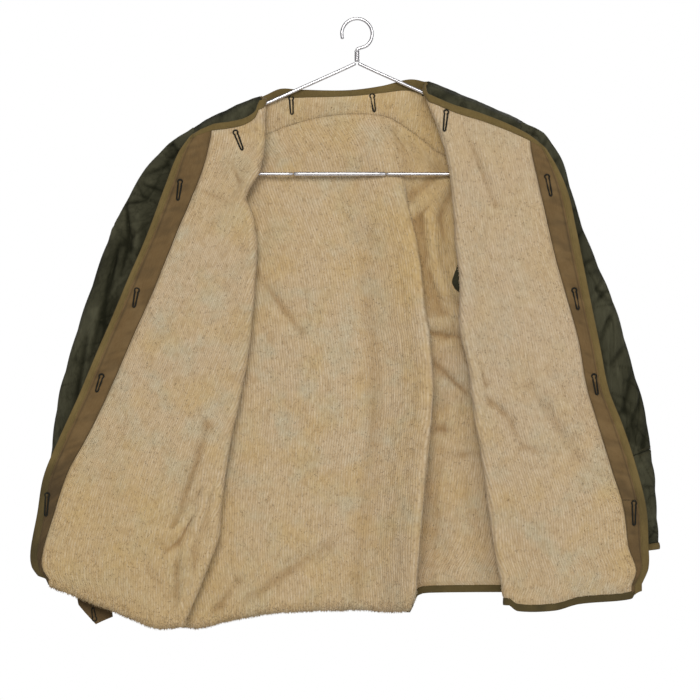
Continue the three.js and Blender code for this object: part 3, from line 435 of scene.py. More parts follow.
@dataclass
class FrontSurface(Surface):
    """A front: u 0..1 lies under its fold, 1..2 is the fold, 2..3.1 is turned outwards."""

    side: Side
    front: Table
    seam: Table
    neck: Table
    hem: Table
    creases: Table
    roll: float

    def __post_init__(self) -> None:
        """Reads the tables' lines once."""
        self.line = {name: self.front.track(name) for name in self.front.columns if name != "t"}
        self.side_x, self.side_z = self.seam.track("frontX"), self.seam.track("frontZ")
        self.neck_x, self.neck_z = self.neck.track("x"), self.neck.track("z")
        self.hem_x, self.hem_z = self.hem.track("x"), self.hem.track("z")
        self.shoulder_z = BACK_TOP.track("z")
        self.inward = -self.side.value

    def turn_x(self, t: Array) -> Array:
        """The x where the fold's bend starts."""
        return self.line["foldX"](t) - self.inward * (FOLD_RADIUS + PILE)

    def width(self, t: Array) -> Array:
        """The turned layer's width."""
        line = self.line
        return np.hypot(line["edgeX"](t) - self.turn_x(t), line["edgeZ"](t) - line["foldZ"](t))

    def share(self, u: Array, t: Array) -> Array:
        """The share of the turned layer's width at u: pile, facing, then edge tape."""
        width = self.width(t)
        well, tape, step = 1 - self.line["facing"](t) / width, 1 - TAPE_WIDTH / width, 2.5 / width
        return np.select(
            [u < 2.8, u < 2.84, u < 3],
            [
                (u - 2) / 0.8 * (well - step),
                mix(well - step, well, (u - 2.8) / 0.04),
                mix(well, tape, (u - 2.84) / 0.16),
            ],
            mix(tape, 1, (u - 3) / 0.1),
        )

    def upper(self, s: Array, t: Array) -> Array:
        """The turned layer's points at a share s of its width."""
        line = self.line
        top = 1 - np.minimum(t / TOP_REACH_T, 1)
        low = np.maximum((t - 1) / HEM_REACH_T + 1, 0)
        ends = {"X": (self.neck_x, self.hem_x), "Z": (self.neck_z, self.hem_z)}
        out = {}
        for axis, start in (("X", self.turn_x(t)), ("Z", line["foldZ"](t))):
            fold, edge = line["fold" + axis], line["edge" + axis]
            neck, hem = ends[axis]
            out[axis] = (
                mix(start, edge(t), s)
                + top * (neck(s) - mix(fold(0), edge(0), s))
                + low * (hem(s) - mix(fold(1), edge(1), s))
            )
        belly = np.where(
            s < 0.5,
            mix(DEPTH_UPPER, line["yMid"](t), ease(s * 2)),
            mix(line["yMid"](t), line["yEdge"](t), ease(s * 2 - 1)),
        )
        fade = ease(s * 16) * ease((1 - s) * 8) * ease(t * 8)
        return xyz(out["X"], belly + fade * crease_depth(self.creases, out["X"], out["Z"]), out["Z"])

    def under(self, u: Array, t: Array) -> Array:
        """The points of the layer under the fold."""
        side, fold_z = self.side_x(t), self.line["foldZ"](t)
        x = mix(side, self.turn_x(t), u)
        seam = ease((t - UNDERARM) / 0.04) * seam_turn(self.inward * (x - side) / EDGE_TURN)
        shoulder = seam_turn(t * SPAN / EDGE_TURN)
        pull = np.maximum(
            seam * (DEPTH_SEAM - SEAM_GAP / 2 - DEPTH_UNDER), shoulder * (-SHOULDER_GAP / 2 - DEPTH_UNDER)
        )
        top_x = mix(self.side_x(0), self.turn_x(0), u)
        lift = self.shoulder_z(top_x) - mix(self.side_z(0), self.line["foldZ"](0), u)
        z = mix(self.side_z(t), fold_z, u) + lift * (1 - np.minimum(t / SHOULDER_T, 1))
        return xyz(x, DEPTH_UNDER + pull, z)

    def point(self, u: Array, t: Array) -> Array:
        """The points at (u, t)."""
        t_in, t = t, np.minimum(t, 1)
        under, upper = self.under(np.minimum(u, 1), t), self.upper(self.share(np.maximum(u, 2), t), t)
        bend = np.clip(u - 1, 0, 1)
        folded = xyz(
            mix(under[..., 0], upper[..., 0], bend) + self.inward * FOLD_RADIUS * np.sin(np.pi * bend),
            mix(under[..., 1], upper[..., 1], (1 - np.cos(np.pi * bend)) / 2),
            mix(under[..., 2], upper[..., 2], bend),
        )
        p = np.where((u <= 1)[..., None], under, np.where((u >= 2)[..., None], upper, folded))
        roll = self.roll_at(u)
        given = mix(HEM_UNROLLED, 1, roll) if self.roll else 1
        tuck, start = (0.9, 2.74) if self.roll else (0.45, 2.84)
        past = np.maximum(t_in - 1, 0) * PAST_HEM * (1 - tuck * ease((u - start) / 0.26)) * given
        y, z = hem_turn(past, roll)
        p[..., 1] += y
        p[..., 2] += z
        return p

    def roll_at(self, u: Array) -> Array:
        """How far the hem rolls to the back at u, 0 to 1."""
        return self.roll * ease((u + 0.02) / 0.3) * ease((3.1 - u) / 0.25)

    def below_tape(self) -> "BelowTape":
        """The same front with its turned layer's neck edge under the neck tape."""
        return BelowTape(self)


@dataclass
class BelowTape(Surface):
    """A front whose turned layer starts below its neck tape; the shoulder seam has none."""

    whole: FrontSurface

    def point(self, u: Array, t: Array) -> Array:
        """The points at (u, t)."""
        return self.whole.point(u, np.where(t < 1, t + (1 - t) * NECK_TAPE_T * ease(u - 1), t))

    def roll_at(self, u: Array) -> Array:
        """How far the hem rolls to the back at u, 0 to 1."""
        return self.whole.roll_at(u)


@dataclass
class NeckTapeSurface(Surface):
    """A front's neck edge; its tape runs out to a point round the fold."""

    whole: FrontSurface

    def point(self, u: Array, t: Array) -> Array:
        """The points at (u, t)."""
        return self.whole.point(u, t * np.maximum(ease(u - 1), 0.1))


@dataclass
class RolledHem(Surface):
    """A panel whose hem cloth is shifted where it rolls: past mm go to gain * past + shift mm."""

    whole: Surface
    gain: float
    shift: float

    def point(self, u: Array, t: Array) -> Array:
        """The points at (u, t)."""
        past = np.maximum(t - 1, 0) * PAST_HEM
        start = np.clip(past / 6, 0, 1)
        moved = mix(past, self.gain * past + self.shift * start, self.whole.roll_at(u))
        return self.whole.point(u, np.where(t > 1, 1 + moved / PAST_HEM, t))


class BackSurface(Surface):
    """The back: u 0..1 is left of the deep fold, 1..2 the fold's section and 2..3 right of it."""

    def __init__(self) -> None:
        """Reads the tables' lines once."""
        self.left_x, self.left_z = LEFT_SIDE.track("backX"), LEFT_SIDE.track("backZ")
        self.right_x, self.right_z = RIGHT_SIDE.track("backX"), RIGHT_SIDE.track("backZ")
        self.crest = {name: BACK_FOLD.track(name) for name in ("x", "z", "rise", "hollow", "y")}
        self.section = {name: FOLD_SECTION.track(name) for name in ("dx", "rise")}
        self.top_z, self.hem_z, self.seam_z = BACK_TOP.track("z"), BACK_HEM.track("z"), YOKE_SEAM.track("z")
        self.first, self.last = FOLD_SECTION.columns["dx"][0], FOLD_SECTION.columns["dx"][-1]

    def across(self, u: Array, t: Array) -> Array:
        """The x at (u, t)."""
        mid = self.crest["x"](t)
        folded = ease((self.crest["rise"](t) - 4) / 14)
        bend = np.clip(u - 1, 0, 1)
        fold = mid + mix(mix(self.first, self.last, u - 1), self.section["dx"](bend), folded)
        right = mix(mid + self.last, self.right_x(t), u - 2)
        return np.where(u <= 1, mix(self.left_x(t), mid + self.first, u), np.where(u <= 2, fold, right))

    def ruled(self, x: Array, t: Array) -> Array:
        """The z of straight lines from the side seams to the deep fold."""
        mid, crest = self.crest["x"](t), self.crest["z"](t)
        left, right = self.left_x(t), self.right_x(t)
        return np.where(
            x < mid,
            mix(self.left_z(t), crest, (x - left) / (mid - left)),
            mix(crest, self.right_z(t), (x - mid) / (right - mid)),
        )

    def point(self, u: Array, t: Array) -> Array:
        """The points at (u, t)."""
        t_in, t = t, np.minimum(t, 1)
        x = self.across(u, t)
        top = 1 - np.minimum(t / YOKE_T, 1)
        low = ease((t - 1) / HEM_REACH_T + 1)
        yoke = np.minimum(t / YOKE_T, np.maximum(1 - (t - YOKE_T) / YOKE_FADE, 0))
        x_top, x_yoke, x_hem = (self.across(u, np.full_like(t, at)) for at in (0, YOKE_T, 1))
        z = (
            self.ruled(x, t)
            + top * (self.top_z(x_top) - self.ruled(x_top, 0))
            + yoke * (self.seam_z(x_yoke) - self.ruled(x_yoke, YOKE_T))
            + low * (self.hem_z(x_hem) - self.ruled(x_hem, 1))
        )
        in_left, in_right = (x - self.left_x(t)) / EDGE_TURN, (self.right_x(t) - x) / EDGE_TURN
        base = mix(DEPTH_BACK, self.crest["y"](t), ease(np.minimum(in_left, in_right) * EDGE_TURN / 60))
        joined = ease((t - UNDERARM) / 0.04)
        seam = joined * (DEPTH_BACK - DEPTH_SEAM - SEAM_GAP / 2) * (seam_turn(in_left) + seam_turn(in_right))
        neck = neck_share(x_top)
        shoulder = (1 - neck) * (base - SHOULDER_GAP / 2) * seam_turn(t * SPAN / EDGE_TURN)
        shoulder = shoulder + neck * NECK_STAND * (1 - ease(t / YOKE_T))
        inside = (u >= 1) & (u <= 2)
        rise = np.where(inside, self.section["rise"](np.clip(u - 1, 0, 1)), 0) * self.crest["rise"](t)
        behind = ease((u - 1.75) / 0.25) * self.crest["hollow"](t)
        fade = ease(in_left / 2) * ease(in_right / 2) * ease(t * 10)
        shown = 1 - ease((u - 1.15) / 0.2) * (1 - ease((u - 1.84) / 0.08))
        shown = shown + 0.25 * ease((u - 1.9) / 0.2) * ease((z + 560) / 60)
        relief = shown * crease_depth(BACK_CREASES, x, z)
        y = base - np.maximum(seam, shoulder) - rise + behind + fade * relief
        roll = self.roll_at(u)
        past = np.maximum(t_in - 1, 0) * PAST_HEM * mix(np.where(u < 1, HEM_UNROLLED, 1), 1, roll)
        down_y, down_z = hem_turn(past, roll)
        return xyz(x, y + down_y, z + down_z)

    def roll_at(self, u: Array) -> Array:
        """How far the hem rolls to the back at u, 0 to 1."""
        return ease((u + 0.02) / 0.05) * (1 - ease((u - 1.7) / 0.06))


@dataclass
class YokeSurface(Surface):
    """The back above its seam, which starts below the neck tape."""

    back: BackSurface

    def point(self, u: Array, t: Array) -> Array:
        """The points at (u, t)."""
        neck = neck_share(self.back.across(u, np.zeros_like(t)))
        return self.back.point(u, t + (YOKE_T - t) / YOKE_T * BACK_TAPE_T * neck)


@dataclass
class SleeveSurface(Surface):
    """A sleeve: u 0..1 runs round it from its outer edge, v from the armhole (0) to the cuff (1)."""

    side: Side
    rings: Table
    seam: Table

    def __post_init__(self) -> None:
        """Reads the tables' lines once."""
        self.ring = {name: self.rings.track(name) for name in self.rings.columns if name != "v"}
        self.hole = {name: self.seam.track(name) for name in self.seam.columns if name != "t"}
        self.start = self.rings.columns["v"][1]

    def line(self, name: str, v: Array) -> Array:
        """One of the rings' lines, which runs straight on past the cuff."""
        read = self.ring[name]
        return np.where(v <= 1, read(v), read(1) + (v - 1) / 0.05 * (read(1) - read(0.95)))

    def free(self, u: Array, v: Array) -> Array:
        """The points of the rings."""
        angle = u * 2 * np.pi
        f = (1 - np.cos(angle)) / 2
        bulge = -self.side.value * np.sign(np.sin(angle)) * np.abs(np.sin(angle)) ** 0.8
        return xyz(
            mix(self.line("outX", v), self.line("inX", v), f),
            self.ring["y"](v) + self.ring["half"](v) * bulge,
            mix(self.line("outZ", v), self.line("inZ", v), f),
        )

    def sewn(self, u: Array) -> Array:
        """The points just off the armhole's edge."""
        angle = u * 2 * np.pi
        t = UNDERARM * (1 - np.cos(angle)) / 2
        to_back = -self.side.value * np.sin(angle) > 0
        ends = np.minimum(np.abs(np.sin(angle)) * 1.6, 1)
        mid = np.where(t < UNDERARM / 2, 0, DEPTH_SEAM)
        at = xyz(
            np.where(to_back, self.hole["backX"](t), self.hole["frontX"](t)),
            mix(mid, np.where(to_back, DEPTH_BACK, DEPTH_UNDER), np.sqrt(ends)),
            np.where(to_back, self.hole["backZ"](t), self.hole["frontZ"](t)),
        )
        way = self.free(u, np.full_like(u, self.start)) - at
        gap = mix(ARMHOLE_GAP_SIDE, ARMHOLE_GAP_UNDER, ease((t / UNDERARM - 0.6) / 0.3))
        at[..., 0] += self.side.value * gap / 2
        return at + way / np.linalg.norm(way, axis=-1, keepdims=True) * gap[..., None]

    def point(self, u: Array, t: Array) -> Array:
        """The points at (u, t), t being v."""
        first = self.free(u, np.full_like(t, self.start))
        joined = mix(self.sewn(u), first, np.clip(t / self.start, -0.25, 1)[..., None])
        return np.where((t < self.start)[..., None], joined, self.free(u, t))


# ------------------------------------------------------------------------------ grids and meshes
class Grid:
    """A surface sampled on a grid, with the cloth's own coordinates in millimetres."""

    def __init__(self, surface: Surface, us: Array, ts: Array, straight: float = 0.0, ring: bool = False) -> None:
        """Samples the surface.

        Args:
            surface: The sewn surface.
            us: Stations of u.
            ts: Stations of t.
            straight: The u whose line is the cloth's straight grain.
            ring: Whether the last column joins the first.
        """
        self.us, self.ts, self.ring = np.asarray(us, float), np.asarray(ts, float), ring
        self.u, self.t = np.meshgrid(self.us, self.ts, indexing="ij")
        self.surface = surface
        self.point, self.normal = surface.point(self.u, self.t), surface.normal(self.u, self.t)
        step_u = np.linalg.norm(np.diff(self.point, axis=0), axis=-1)
        step_t = np.linalg.norm(np.diff(self.point, axis=1), axis=-1)
        across = np.vstack([np.zeros((1, len(self.ts))), np.cumsum(step_u, axis=0)])
        self.along = np.hstack([np.zeros((len(self.us), 1)), np.cumsum(step_t, axis=1)])
        grain = np.array([np.interp(straight, self.us, across[:, j]) for j in range(len(self.ts))])
        self.across = across - grain

    def hollow(self, reach: float = 15.0) -> Array:
        """How deep each point lies in a fold, 0 to 1, from its neighbours about a reach away."""
        y = self.point[..., 1]
        rows = max(int(reach / max(float(np.mean(np.diff(self.along, axis=1))), 0.1)), 1)
        cols = max(int(reach / max(float(np.mean(np.abs(np.diff(self.across, axis=0)))), 0.1)), 1)
        wide = np.pad(y, ((cols, cols), (rows, rows)), mode="edge")
        sunk = np.zeros_like(y)
        for a, b in ((cols, 0), (-cols, 0), (0, rows), (0, -rows)):
            beside = np.roll(wide, (a, b), axis=(0, 1))[cols:-cols, rows:-rows]
            sunk += np.clip(y - beside, -3.5, 3.5)
        return np.clip(sunk * 0.12, 0, 1)


def outline_faces(
    count_u: int, count_t: int, keep_u: Array, keep_t: Array, ring: bool
) -> List[Tuple[int, ...]]:
    """The faces of a closed layer: a fine outer grid, a coarser inner one and the rims between them.

    Args:
        count_u: Columns of the outer grid, whose vertices come first.
        count_t: Rows of the outer grid.
        keep_u: The columns that the inner grid keeps.
        keep_t: The rows that the inner grid keeps.
        ring: Whether the last column joins the first.

    Returns:
        Vertex numbers of each face, outwards for a layer whose outer side is along the normal.
    """
    fine = np.arange(count_u * count_t).reshape(count_u, count_t)
    coarse = count_u * count_t + np.arange(len(keep_u) * len(keep_t)).reshape(len(keep_u), len(keep_t))
    if ring:
        fine, coarse = np.vstack([fine, fine[:1]]), np.vstack([coarse, coarse[:1]])
        keep_u = np.append(keep_u, count_u)

    def quads(grid: Array, flip: bool) -> List[Tuple[int, ...]]:
        """The four-sided faces of one grid of vertex numbers."""
        corners = [grid[:-1, :-1], grid[1:, :-1], grid[1:, 1:], grid[:-1, 1:]]
        faces = np.stack([c.ravel() for c in (corners[::-1] if flip else corners)], axis=1)
        return [tuple(face) for face in faces.tolist()]

    faces = quads(fine, False) + quads(coarse, True)
    for column, row, down in ((None, 0, True), (None, -1, False), (0, None, False), (-1, None, True)):
        if ring and row is None:
            continue
        edge = fine[:, row] if column is None else fine[column, :]
        inner = coarse[:, row] if column is None else coarse[column, :]
        stops = keep_u if column is None else keep_t
        for k in range(len(stops) - 1):
            run = edge[stops[k] : stops[k + 1] + 1].tolist()
            pair = [int(inner[k]), int(inner[k + 1])]
            faces.append(tuple(run[::-1] + pair if down else run + pair[::-1]))
    return faces


def new_mesh(
    name: str, points: Array, faces: Sequence[Sequence[int]], material: bpy.types.Material
) -> bpy.types.Object:
    """A mesh object at the origin from points in millimetres.

    Args:
        name: The piece's name.
        points: Vertices, in millimetres.
        faces: Vertex numbers of each face.
        material: What it is made of.

    Returns:
        The object.
    """
    mesh = bpy.data.meshes.new(name)
    mesh.from_pydata((points * MM).tolist(), [], faces)
    mesh.polygons.foreach_set("use_smooth", [True] * len(mesh.polygons))
    mesh.materials.append(material)
    obj = bpy.data.objects.new(name, mesh)
    bpy.context.collection.objects.link(obj)
    return obj


def set_values(obj: bpy.types.Object, name: str, values: Array) -> None:
    """Stores one number for each vertex under a name."""
    layer = obj.data.attributes.new(name, "FLOAT", "POINT")
    layer.data.foreach_set("value", np.ascontiguousarray(values, dtype=np.float32))


def set_uv(obj: bpy.types.Object, uv: Array) -> None:
    """Stores the cloth's own coordinates, in metres, as the piece's UV map."""
    layer = obj.data.uv_layers.new(name=UV_NAME)
    corner = np.empty(len(obj.data.loops), dtype=np.int32)
    obj.data.loops.foreach_get("vertex_index", corner)
    layer.data.foreach_set("uv", np.ascontiguousarray(uv[corner] * MM, dtype=np.float32).ravel())


def kept(count: int, every: int) -> Array:
    """Numbers from 0 to the last, every so many, the last always among them."""
    return np.unique(np.append(np.arange(0, count, every), count - 1))


@dataclass
class Layer:
    """One closed layer of cloth between two heights over a sewn surface.

    side is +1 where its outer face lies along the surface's normal. keep is how many of the outer
    grid's steps one step of the hidden inner face takes. shade goes into the hollow attribute in
    place of the folds' own depth, which the pile paints as shade. On the nylon it is painted shade and
    painted highlight; on twill and tape it is soil and a set darker tone, with painted shade in the facings.
    """

    name: str
    grid: Grid
    side: int
    low: HeightRule
    high: HeightRule
    material: bpy.types.Material
    slot: str
    keep: Tuple[int, int] = (1, 1)
    nap: Optional[HeightRule] = None
    shade: Optional[HeightRule] = None

    def build(self) -> bpy.types.Object:
        """Makes the layer's mesh and sets it riding.

        Returns:
            The object.
        """
        grid = self.grid
        count_u, count_t = grid.u.shape
        keep_t = kept(count_t, self.keep[1])
        keep_u = np.arange(0, count_u, self.keep[0]) if grid.ring else kept(count_u, self.keep[0])
        pick = np.ix_(keep_u, keep_t)
        low, high = (np.broadcast_to(rule(grid), grid.u.shape)[..., None] for rule in (self.low, self.high))
        outer = grid.point + self.side * high * grid.normal
        inner = (grid.point + self.side * low * grid.normal)[pick]
        faces = outline_faces(count_u, count_t, keep_u, keep_t, grid.ring)
        if self.side < 0:
            faces = [face[::-1] for face in faces]
        obj = new_mesh(self.name, np.vstack([outer.reshape(-1, 3), inner.reshape(-1, 3)]), faces, self.material)

        def both(values: Array) -> Array:
            """The outer face's values, then the inner face's."""
            return np.concatenate([values.ravel(), values[pick].ravel()])

        set_uv(obj, np.stack([both(grid.across), both(grid.along)], axis=1))
        # Without a rule of its own, a layer gets its folds' depth, which the pile paints as shade
        shade = grid.hollow() if self.shade is None else np.broadcast_to(self.shade(grid), grid.u.shape)
        set_values(obj, SHADE_AND_SOIL_NAME, both(shade))
        if self.nap is not None:
            nap = np.broadcast_to(self.nap(grid), grid.u.shape)
            set_values(obj, NAP_NAME, np.concatenate([nap.ravel(), np.zeros(nap[pick].size)]))
        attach(obj, BODY)
        log.info("%s: %d faces", self.name, len(obj.data.polygons))
        return obj


# ------------------------------------------------------------------------------ node trees
class Builder:
    """Adds nodes to one tree, linked as they are added."""

    def __init__(self, tree: bpy.types.NodeTree) -> None:
        """Keeps the tree."""
        self.tree = tree

    def add(self, kind: str, inputs: Dict[Union[int, str], object], **settings: object) -> bpy.types.Node:
        """Adds a node.

        Args:
            kind: The node's type.
            inputs: For each input, the socket that feeds it or its value.
            **settings: The node's own settings.

        Returns:
            The node.
        """
        node = self.tree.nodes.new(kind)
        for name, value in settings.items():
            setattr(node, name, value)
        for key, value in inputs.items():
            if isinstance(value, bpy.types.NodeSocket):
                self.tree.links.new(value, node.inputs[key])
            else:
                node.inputs[key].default_value = value
        return node

    def math(self, operation: str, a: object, b: object = 0.0) -> bpy.types.NodeSocket:
        """One sum."""
        return self.add("ShaderNodeMath", {0: a, 1: b}, operation=operation).outputs[0]

    def blend(self, share: object, a: object, b: object) -> bpy.types.NodeSocket:
        """A colour a share of the way from a to b."""
        return self.add("ShaderNodeMix", {0: share, 6: a, 7: b}, data_type="RGBA").outputs[2]

    def span(self, value: object, low: float, high: float, to_low: float = 0.0, to_high: float = 1.0) -> object:
        """A value carried from one range to another and kept inside it."""
        return self.add("ShaderNodeMapRange", {0: value, 1: low, 2: high, 3: to_low, 4: to_high}).outputs[0]

    def noise(self, vector: object, scale: float, detail: float = 2.0) -> bpy.types.NodeSocket:
        """Smooth random values round 0.5."""
        return self.add("ShaderNodeTexNoise", {"Vector": vector, "Scale": scale, "Detail": detail}).outputs["Fac"]

    def stretch(self, vector: object, by: Sequence[float]) -> bpy.types.NodeSocket:
        """A vector with each part multiplied."""
        return self.add("ShaderNodeVectorMath", {0: vector, 1: by}, operation="MULTIPLY").outputs[0]

    def group(self, tree: bpy.types.NodeTree, **inputs: object) -> bpy.types.NodeSocket:
        """The first output of a shared effect; an input's name has _ for a space."""
        node = self.tree.nodes.new("ShaderNodeGroup")
        node.node_tree = tree
        for name, value in inputs.items():
            socket = node.inputs[name.replace("_", " ")]
            if isinstance(value, bpy.types.NodeSocket):
                self.tree.links.new(value, socket)
            else:
                socket.default_value = value
        return node.outputs[0]


def new_tree(name: str, kind: str, inputs: Dict[str, str], output: Tuple[str, str]) -> bpy.types.NodeTree:
    """A node tree with named sockets.

    Args:
        name: The tree's name.
        kind: ShaderNodeTree or GeometryNodeTree.
        inputs: Each input's socket type by its name.
        output: The output's name and socket type.

    Returns:
        The tree.
    """
    tree = bpy.data.node_groups.new(name, kind)
    for label, socket in inputs.items():
        tree.interface.new_socket(name=label, in_out="INPUT", socket_type=socket)
    tree.interface.new_socket(name=output[0], in_out="OUTPUT", socket_type=output[1])
    return tree


class Effects:
    """Surface effects that several finishes share."""

    def __init__(self) -> None:
        """Builds every effect once."""
        self.ribs = self._ribs()
        self.streaks = self._streaks()
        self.weave = self._weave()
        self.patches = self._patches()

    @staticmethod
    def _start(name: str, inputs: Dict[str, str]) -> Tuple[bpy.types.NodeTree, Builder, object, bpy.types.Node]:
        """A shader group with one value for its output."""
        tree = new_tree(name, "ShaderNodeTree", inputs, ("Mask", "NodeSocketFloat"))
        return tree, Builder(tree), tree.nodes.new("NodeGroupInput").outputs, tree.nodes.new("NodeGroupOutput")

    def _ribs(self) -> bpy.types.NodeTree:
        """1 in the valleys between the ribs of a cloth and 0 on their crests."""
        tree, build, given, out = self._start("ribs", {"Cloth": "NodeSocketVector", "Pitch": "NodeSocketFloat"})
        across = build.add("ShaderNodeSeparateXYZ", {0: given["Cloth"]}).outputs[0]
        turn = build.math("MULTIPLY", build.math("DIVIDE", across, given["Pitch"]), 2 * math.pi)
        tree.links.new(build.span(build.math("COSINE", turn), -1, 1), out.inputs[0])
        return tree

    def _streaks(self) -> bpy.types.NodeTree:
        """1 on short streaks that keep to one rib each; Shift picks other streaks."""
        names = {"Cloth": "NodeSocketVector"}
        names.update(dict.fromkeys(("Pitch", "Length", "Shift"), "NodeSocketFloat"))
        tree, build, given, out = self._start("streaks", names)
        parts = build.add("ShaderNodeSeparateXYZ", {0: given["Cloth"]}).outputs
        rib = build.math("FLOOR", build.math("DIVIDE", parts[0], given["Pitch"]))
        row = build.math("ADD", build.math("MULTIPLY", rib, 7.31), given["Shift"])
        cell = build.add("ShaderNodeCombineXYZ", {0: row, 1: build.math("DIVIDE", parts[1], given["Length"])}).outputs[0]
        tree.links.new(build.span(build.noise(cell, 1.0, 2.0), 0.44, 0.66), out.inputs[0])
        return tree

    def _weave(self) -> bpy.types.NodeTree:
        """The height of crossed yarns; Slant leans one set for a twill."""
        names = {"Cloth": "NodeSocketVector", "Pitch": "NodeSocketFloat", "Slant": "NodeSocketFloat"}
        tree, build, given, out = self._start("weave", names)
        parts = build.add("ShaderNodeSeparateXYZ", {0: given["Cloth"]}).outputs
        leaned = build.math("ADD", parts[0], build.math("MULTIPLY", parts[1], given["Slant"]))
        waves = [
            build.math("SINE", build.math("MULTIPLY", build.math("DIVIDE", side, given["Pitch"]), 2 * math.pi))
            for side in (leaned, parts[1])
        ]
        both = build.math("ADD", waves[0], build.math("MULTIPLY", waves[1], 0.5))
        tree.links.new(build.span(both, -1.5, 1.5), out.inputs[0])
        return tree

    def _patches(self) -> bpy.types.NodeTree:
        """1 on soft uneven patches about Size across."""
        names = {"Place": "NodeSocketVector", "Size": "NodeSocketFloat", "Shift": "NodeSocketVector"}
        tree, build, given, out = self._start("patches", names)
        moved = build.add("ShaderNodeVectorMath", {0: given["Place"], 1: given["Shift"]}, operation="ADD")
        noise = build.noise(moved.outputs[0], 1.0, 3.0)
        noise.node.inputs["Scale"].default_value = 1.0
        tree.links.new(build.math("DIVIDE", 1.0, given["Size"]), noise.node.inputs["Scale"])
        tree.links.new(build.span(noise, 0.47, 0.66), out.inputs[0])
        return tree


# ------------------------------------------------------------------------------ finishes
def paint(colour: Colour) -> Tuple[float, float, float, float]:
    """A colour given as 0 to 255 on a screen, as a shader's linear one."""
    share = [c / 255 for c in colour]
    return tuple(c / 12.92 if c <= 0.04045 else ((c + 0.055) / 1.055) ** 2.4 for c in share) + (1.0,)


@dataclass(frozen=True)
class Finish:
    """What every finish has: a name, and the ground that its material starts from."""

    name: str

    def start(self) -> Tuple[bpy.types.Material, Builder, object, object]:
        """A new material, its builder, and its cloth and object coordinates."""
        material = bpy.data.materials.new(self.name)
        material.use_nodes = True
        material.node_tree.nodes.clear()
        build = Builder(material.node_tree)
        cloth = build.add("ShaderNodeAttribute", {}, attribute_name=UV_NAME).outputs["Vector"]
        place = build.add("ShaderNodeTexCoord", {}).outputs["Object"]
        return material, build, cloth, place

    def end(
        self, build: Builder, colour: object, roughness: object, height: object,
        relief: Tuple[float, float], **fixed: object,
    ) -> None:
        """Adds the surface shader.

        Args:
            build: The material's builder.
            colour: The base colour.
            roughness: The roughness.
            height: The fine relief.
            relief: The relief's strength and its depth in metres.
            **fixed: Values that are the same all over, with _ for a space.
        """
        bump = build.add("ShaderNodeBump", {"Strength": relief[0], "Distance": relief[1], "Height": height})
        inputs = {"Base Color": colour, "Roughness": roughness, "Normal": bump.outputs[0]}
        inputs.update({name.replace("_", " "): value for name, value in fixed.items()})
        shader = build.add("ShaderNodeBsdfPrincipled", inputs)
        build.add("ShaderNodeOutputMaterial", {0: shader.outputs[0]})


@dataclass(frozen=True)
class PileFinish(Finish):
    """Ribbed wool pile with streaks and patches, painted shade in its rib valleys and folds and painted highlight on
    its rib crests.
    """

    ground: Colour = (196, 175, 144)
    valley: Colour = (160, 132, 94)
    # lighter tone of fibre streaks, painted as highlight where they lie on rib crests
    streak_highlight: Colour = (219, 205, 180)
    grey: Colour = (178, 174, 150)
    cool: Colour = (186, 166, 138)
    gold: Colour = (188, 159, 106)
    # painted shade in the depth of folds
    deep: Colour = (138, 105, 62)

    def build(self, effects: Effects) -> bpy.types.Material:
        """Makes the material."""
        material, build, cloth, place = self.start()
        hollow = build.add("ShaderNodeAttribute", {}, attribute_name=SHADE_AND_SOIL_NAME).outputs["Fac"]
        valley = build.group(effects.ribs, Cloth=cloth, Pitch=WALE * MM)
        crest = build.math("SUBTRACT", 1.0, valley)
        light = build.group(effects.streaks, Cloth=cloth, Pitch=WALE * MM, Length=0.012, Shift=0.0)
        dark = build.group(effects.streaks, Cloth=cloth, Pitch=WALE * MM, Length=0.009, Shift=31.7)
        curls = build.noise(cloth, 700.0, 3.0)
        # Painted shade in the valleys between the ribs; the valley colour is also the darker tone of patches, dark
        # streaks and curls
        colour = build.blend(build.math("MULTIPLY", valley, 0.42), paint(self.ground), paint(self.valley))
        for size, shift, tone, much in (
            (0.04, (3, 1, 7), self.grey, 0.5),
            (0.055, (9, 4, 2), self.gold, 0.5),
            (0.16, (5, 8, 1), self.gold, 0.3),
            (0.013, (2, 8, 5), self.valley, 0.3),
        ):
            mask = build.group(effects.patches, Place=place, Size=size, Shift=shift)
            colour = build.blend(build.math("MULTIPLY", mask, much), colour, paint(tone))
        x, y, z = build.add("ShaderNodeSeparateXYZ", {0: place}).outputs
        # Tones set by place: darker and more golden towards the lower left, a cooler tone on the upper right front's
        # turned layer, and gold in and beside the back's pleat in its upper part, painted as the warm shade of the
        # pleat's hollows
        turned = build.math("MULTIPLY", build.span(y, -0.009, -0.015), build.span(x, 0.1, 0.115))
        inside = build.math("MULTIPLY", build.span(y, -0.015, -0.009), build.span(x, 0.02, 0.09, 0.15, 1.0))
        for high, side, tone, much in (
            (build.span(z, -0.5, -0.76), build.span(x, -0.08, -0.24, 0.2, 1.0), self.gold, 0.5),
            (build.span(z, -0.66, -0.5), turned, self.cool, 0.5),
            (build.span(z, -0.46, -0.36), inside, self.gold, 0.6),
        ):
            mask = build.math("MULTIPLY", high, side)
            colour = build.blend(build.math("MULTIPLY", mask, much), colour, paint(tone))
        colour = build.blend(build.math("MULTIPLY", dark, 0.25), colour, paint(self.valley))
        # Painted highlight: light fibre streaks shown only on the rib crests
        bright = build.math("MULTIPLY", light, crest)
        colour = build.blend(build.math("MULTIPLY", bright, 0.3), colour, paint(self.streak_highlight))
        colour = build.blend(build.span(curls, 0.5, 0.8, 0.0, 0.3), colour, paint(self.valley))
        # Painted shade in the depth of folds, from the hollow attribute
        colour = build.blend(build.math("MULTIPLY", hollow, 0.6), colour, paint(self.deep))
        height = build.math("ADD", build.math("MULTIPLY", crest, 0.55), build.math("MULTIPLY", curls, 0.9))
        self.end(
            build, colour, 0.95, height, (0.6, 0.0013),
            Sheen_Weight=0.12, Sheen_Roughness=0.5, Specular_IOR_Level=0.12,
        )
        return material


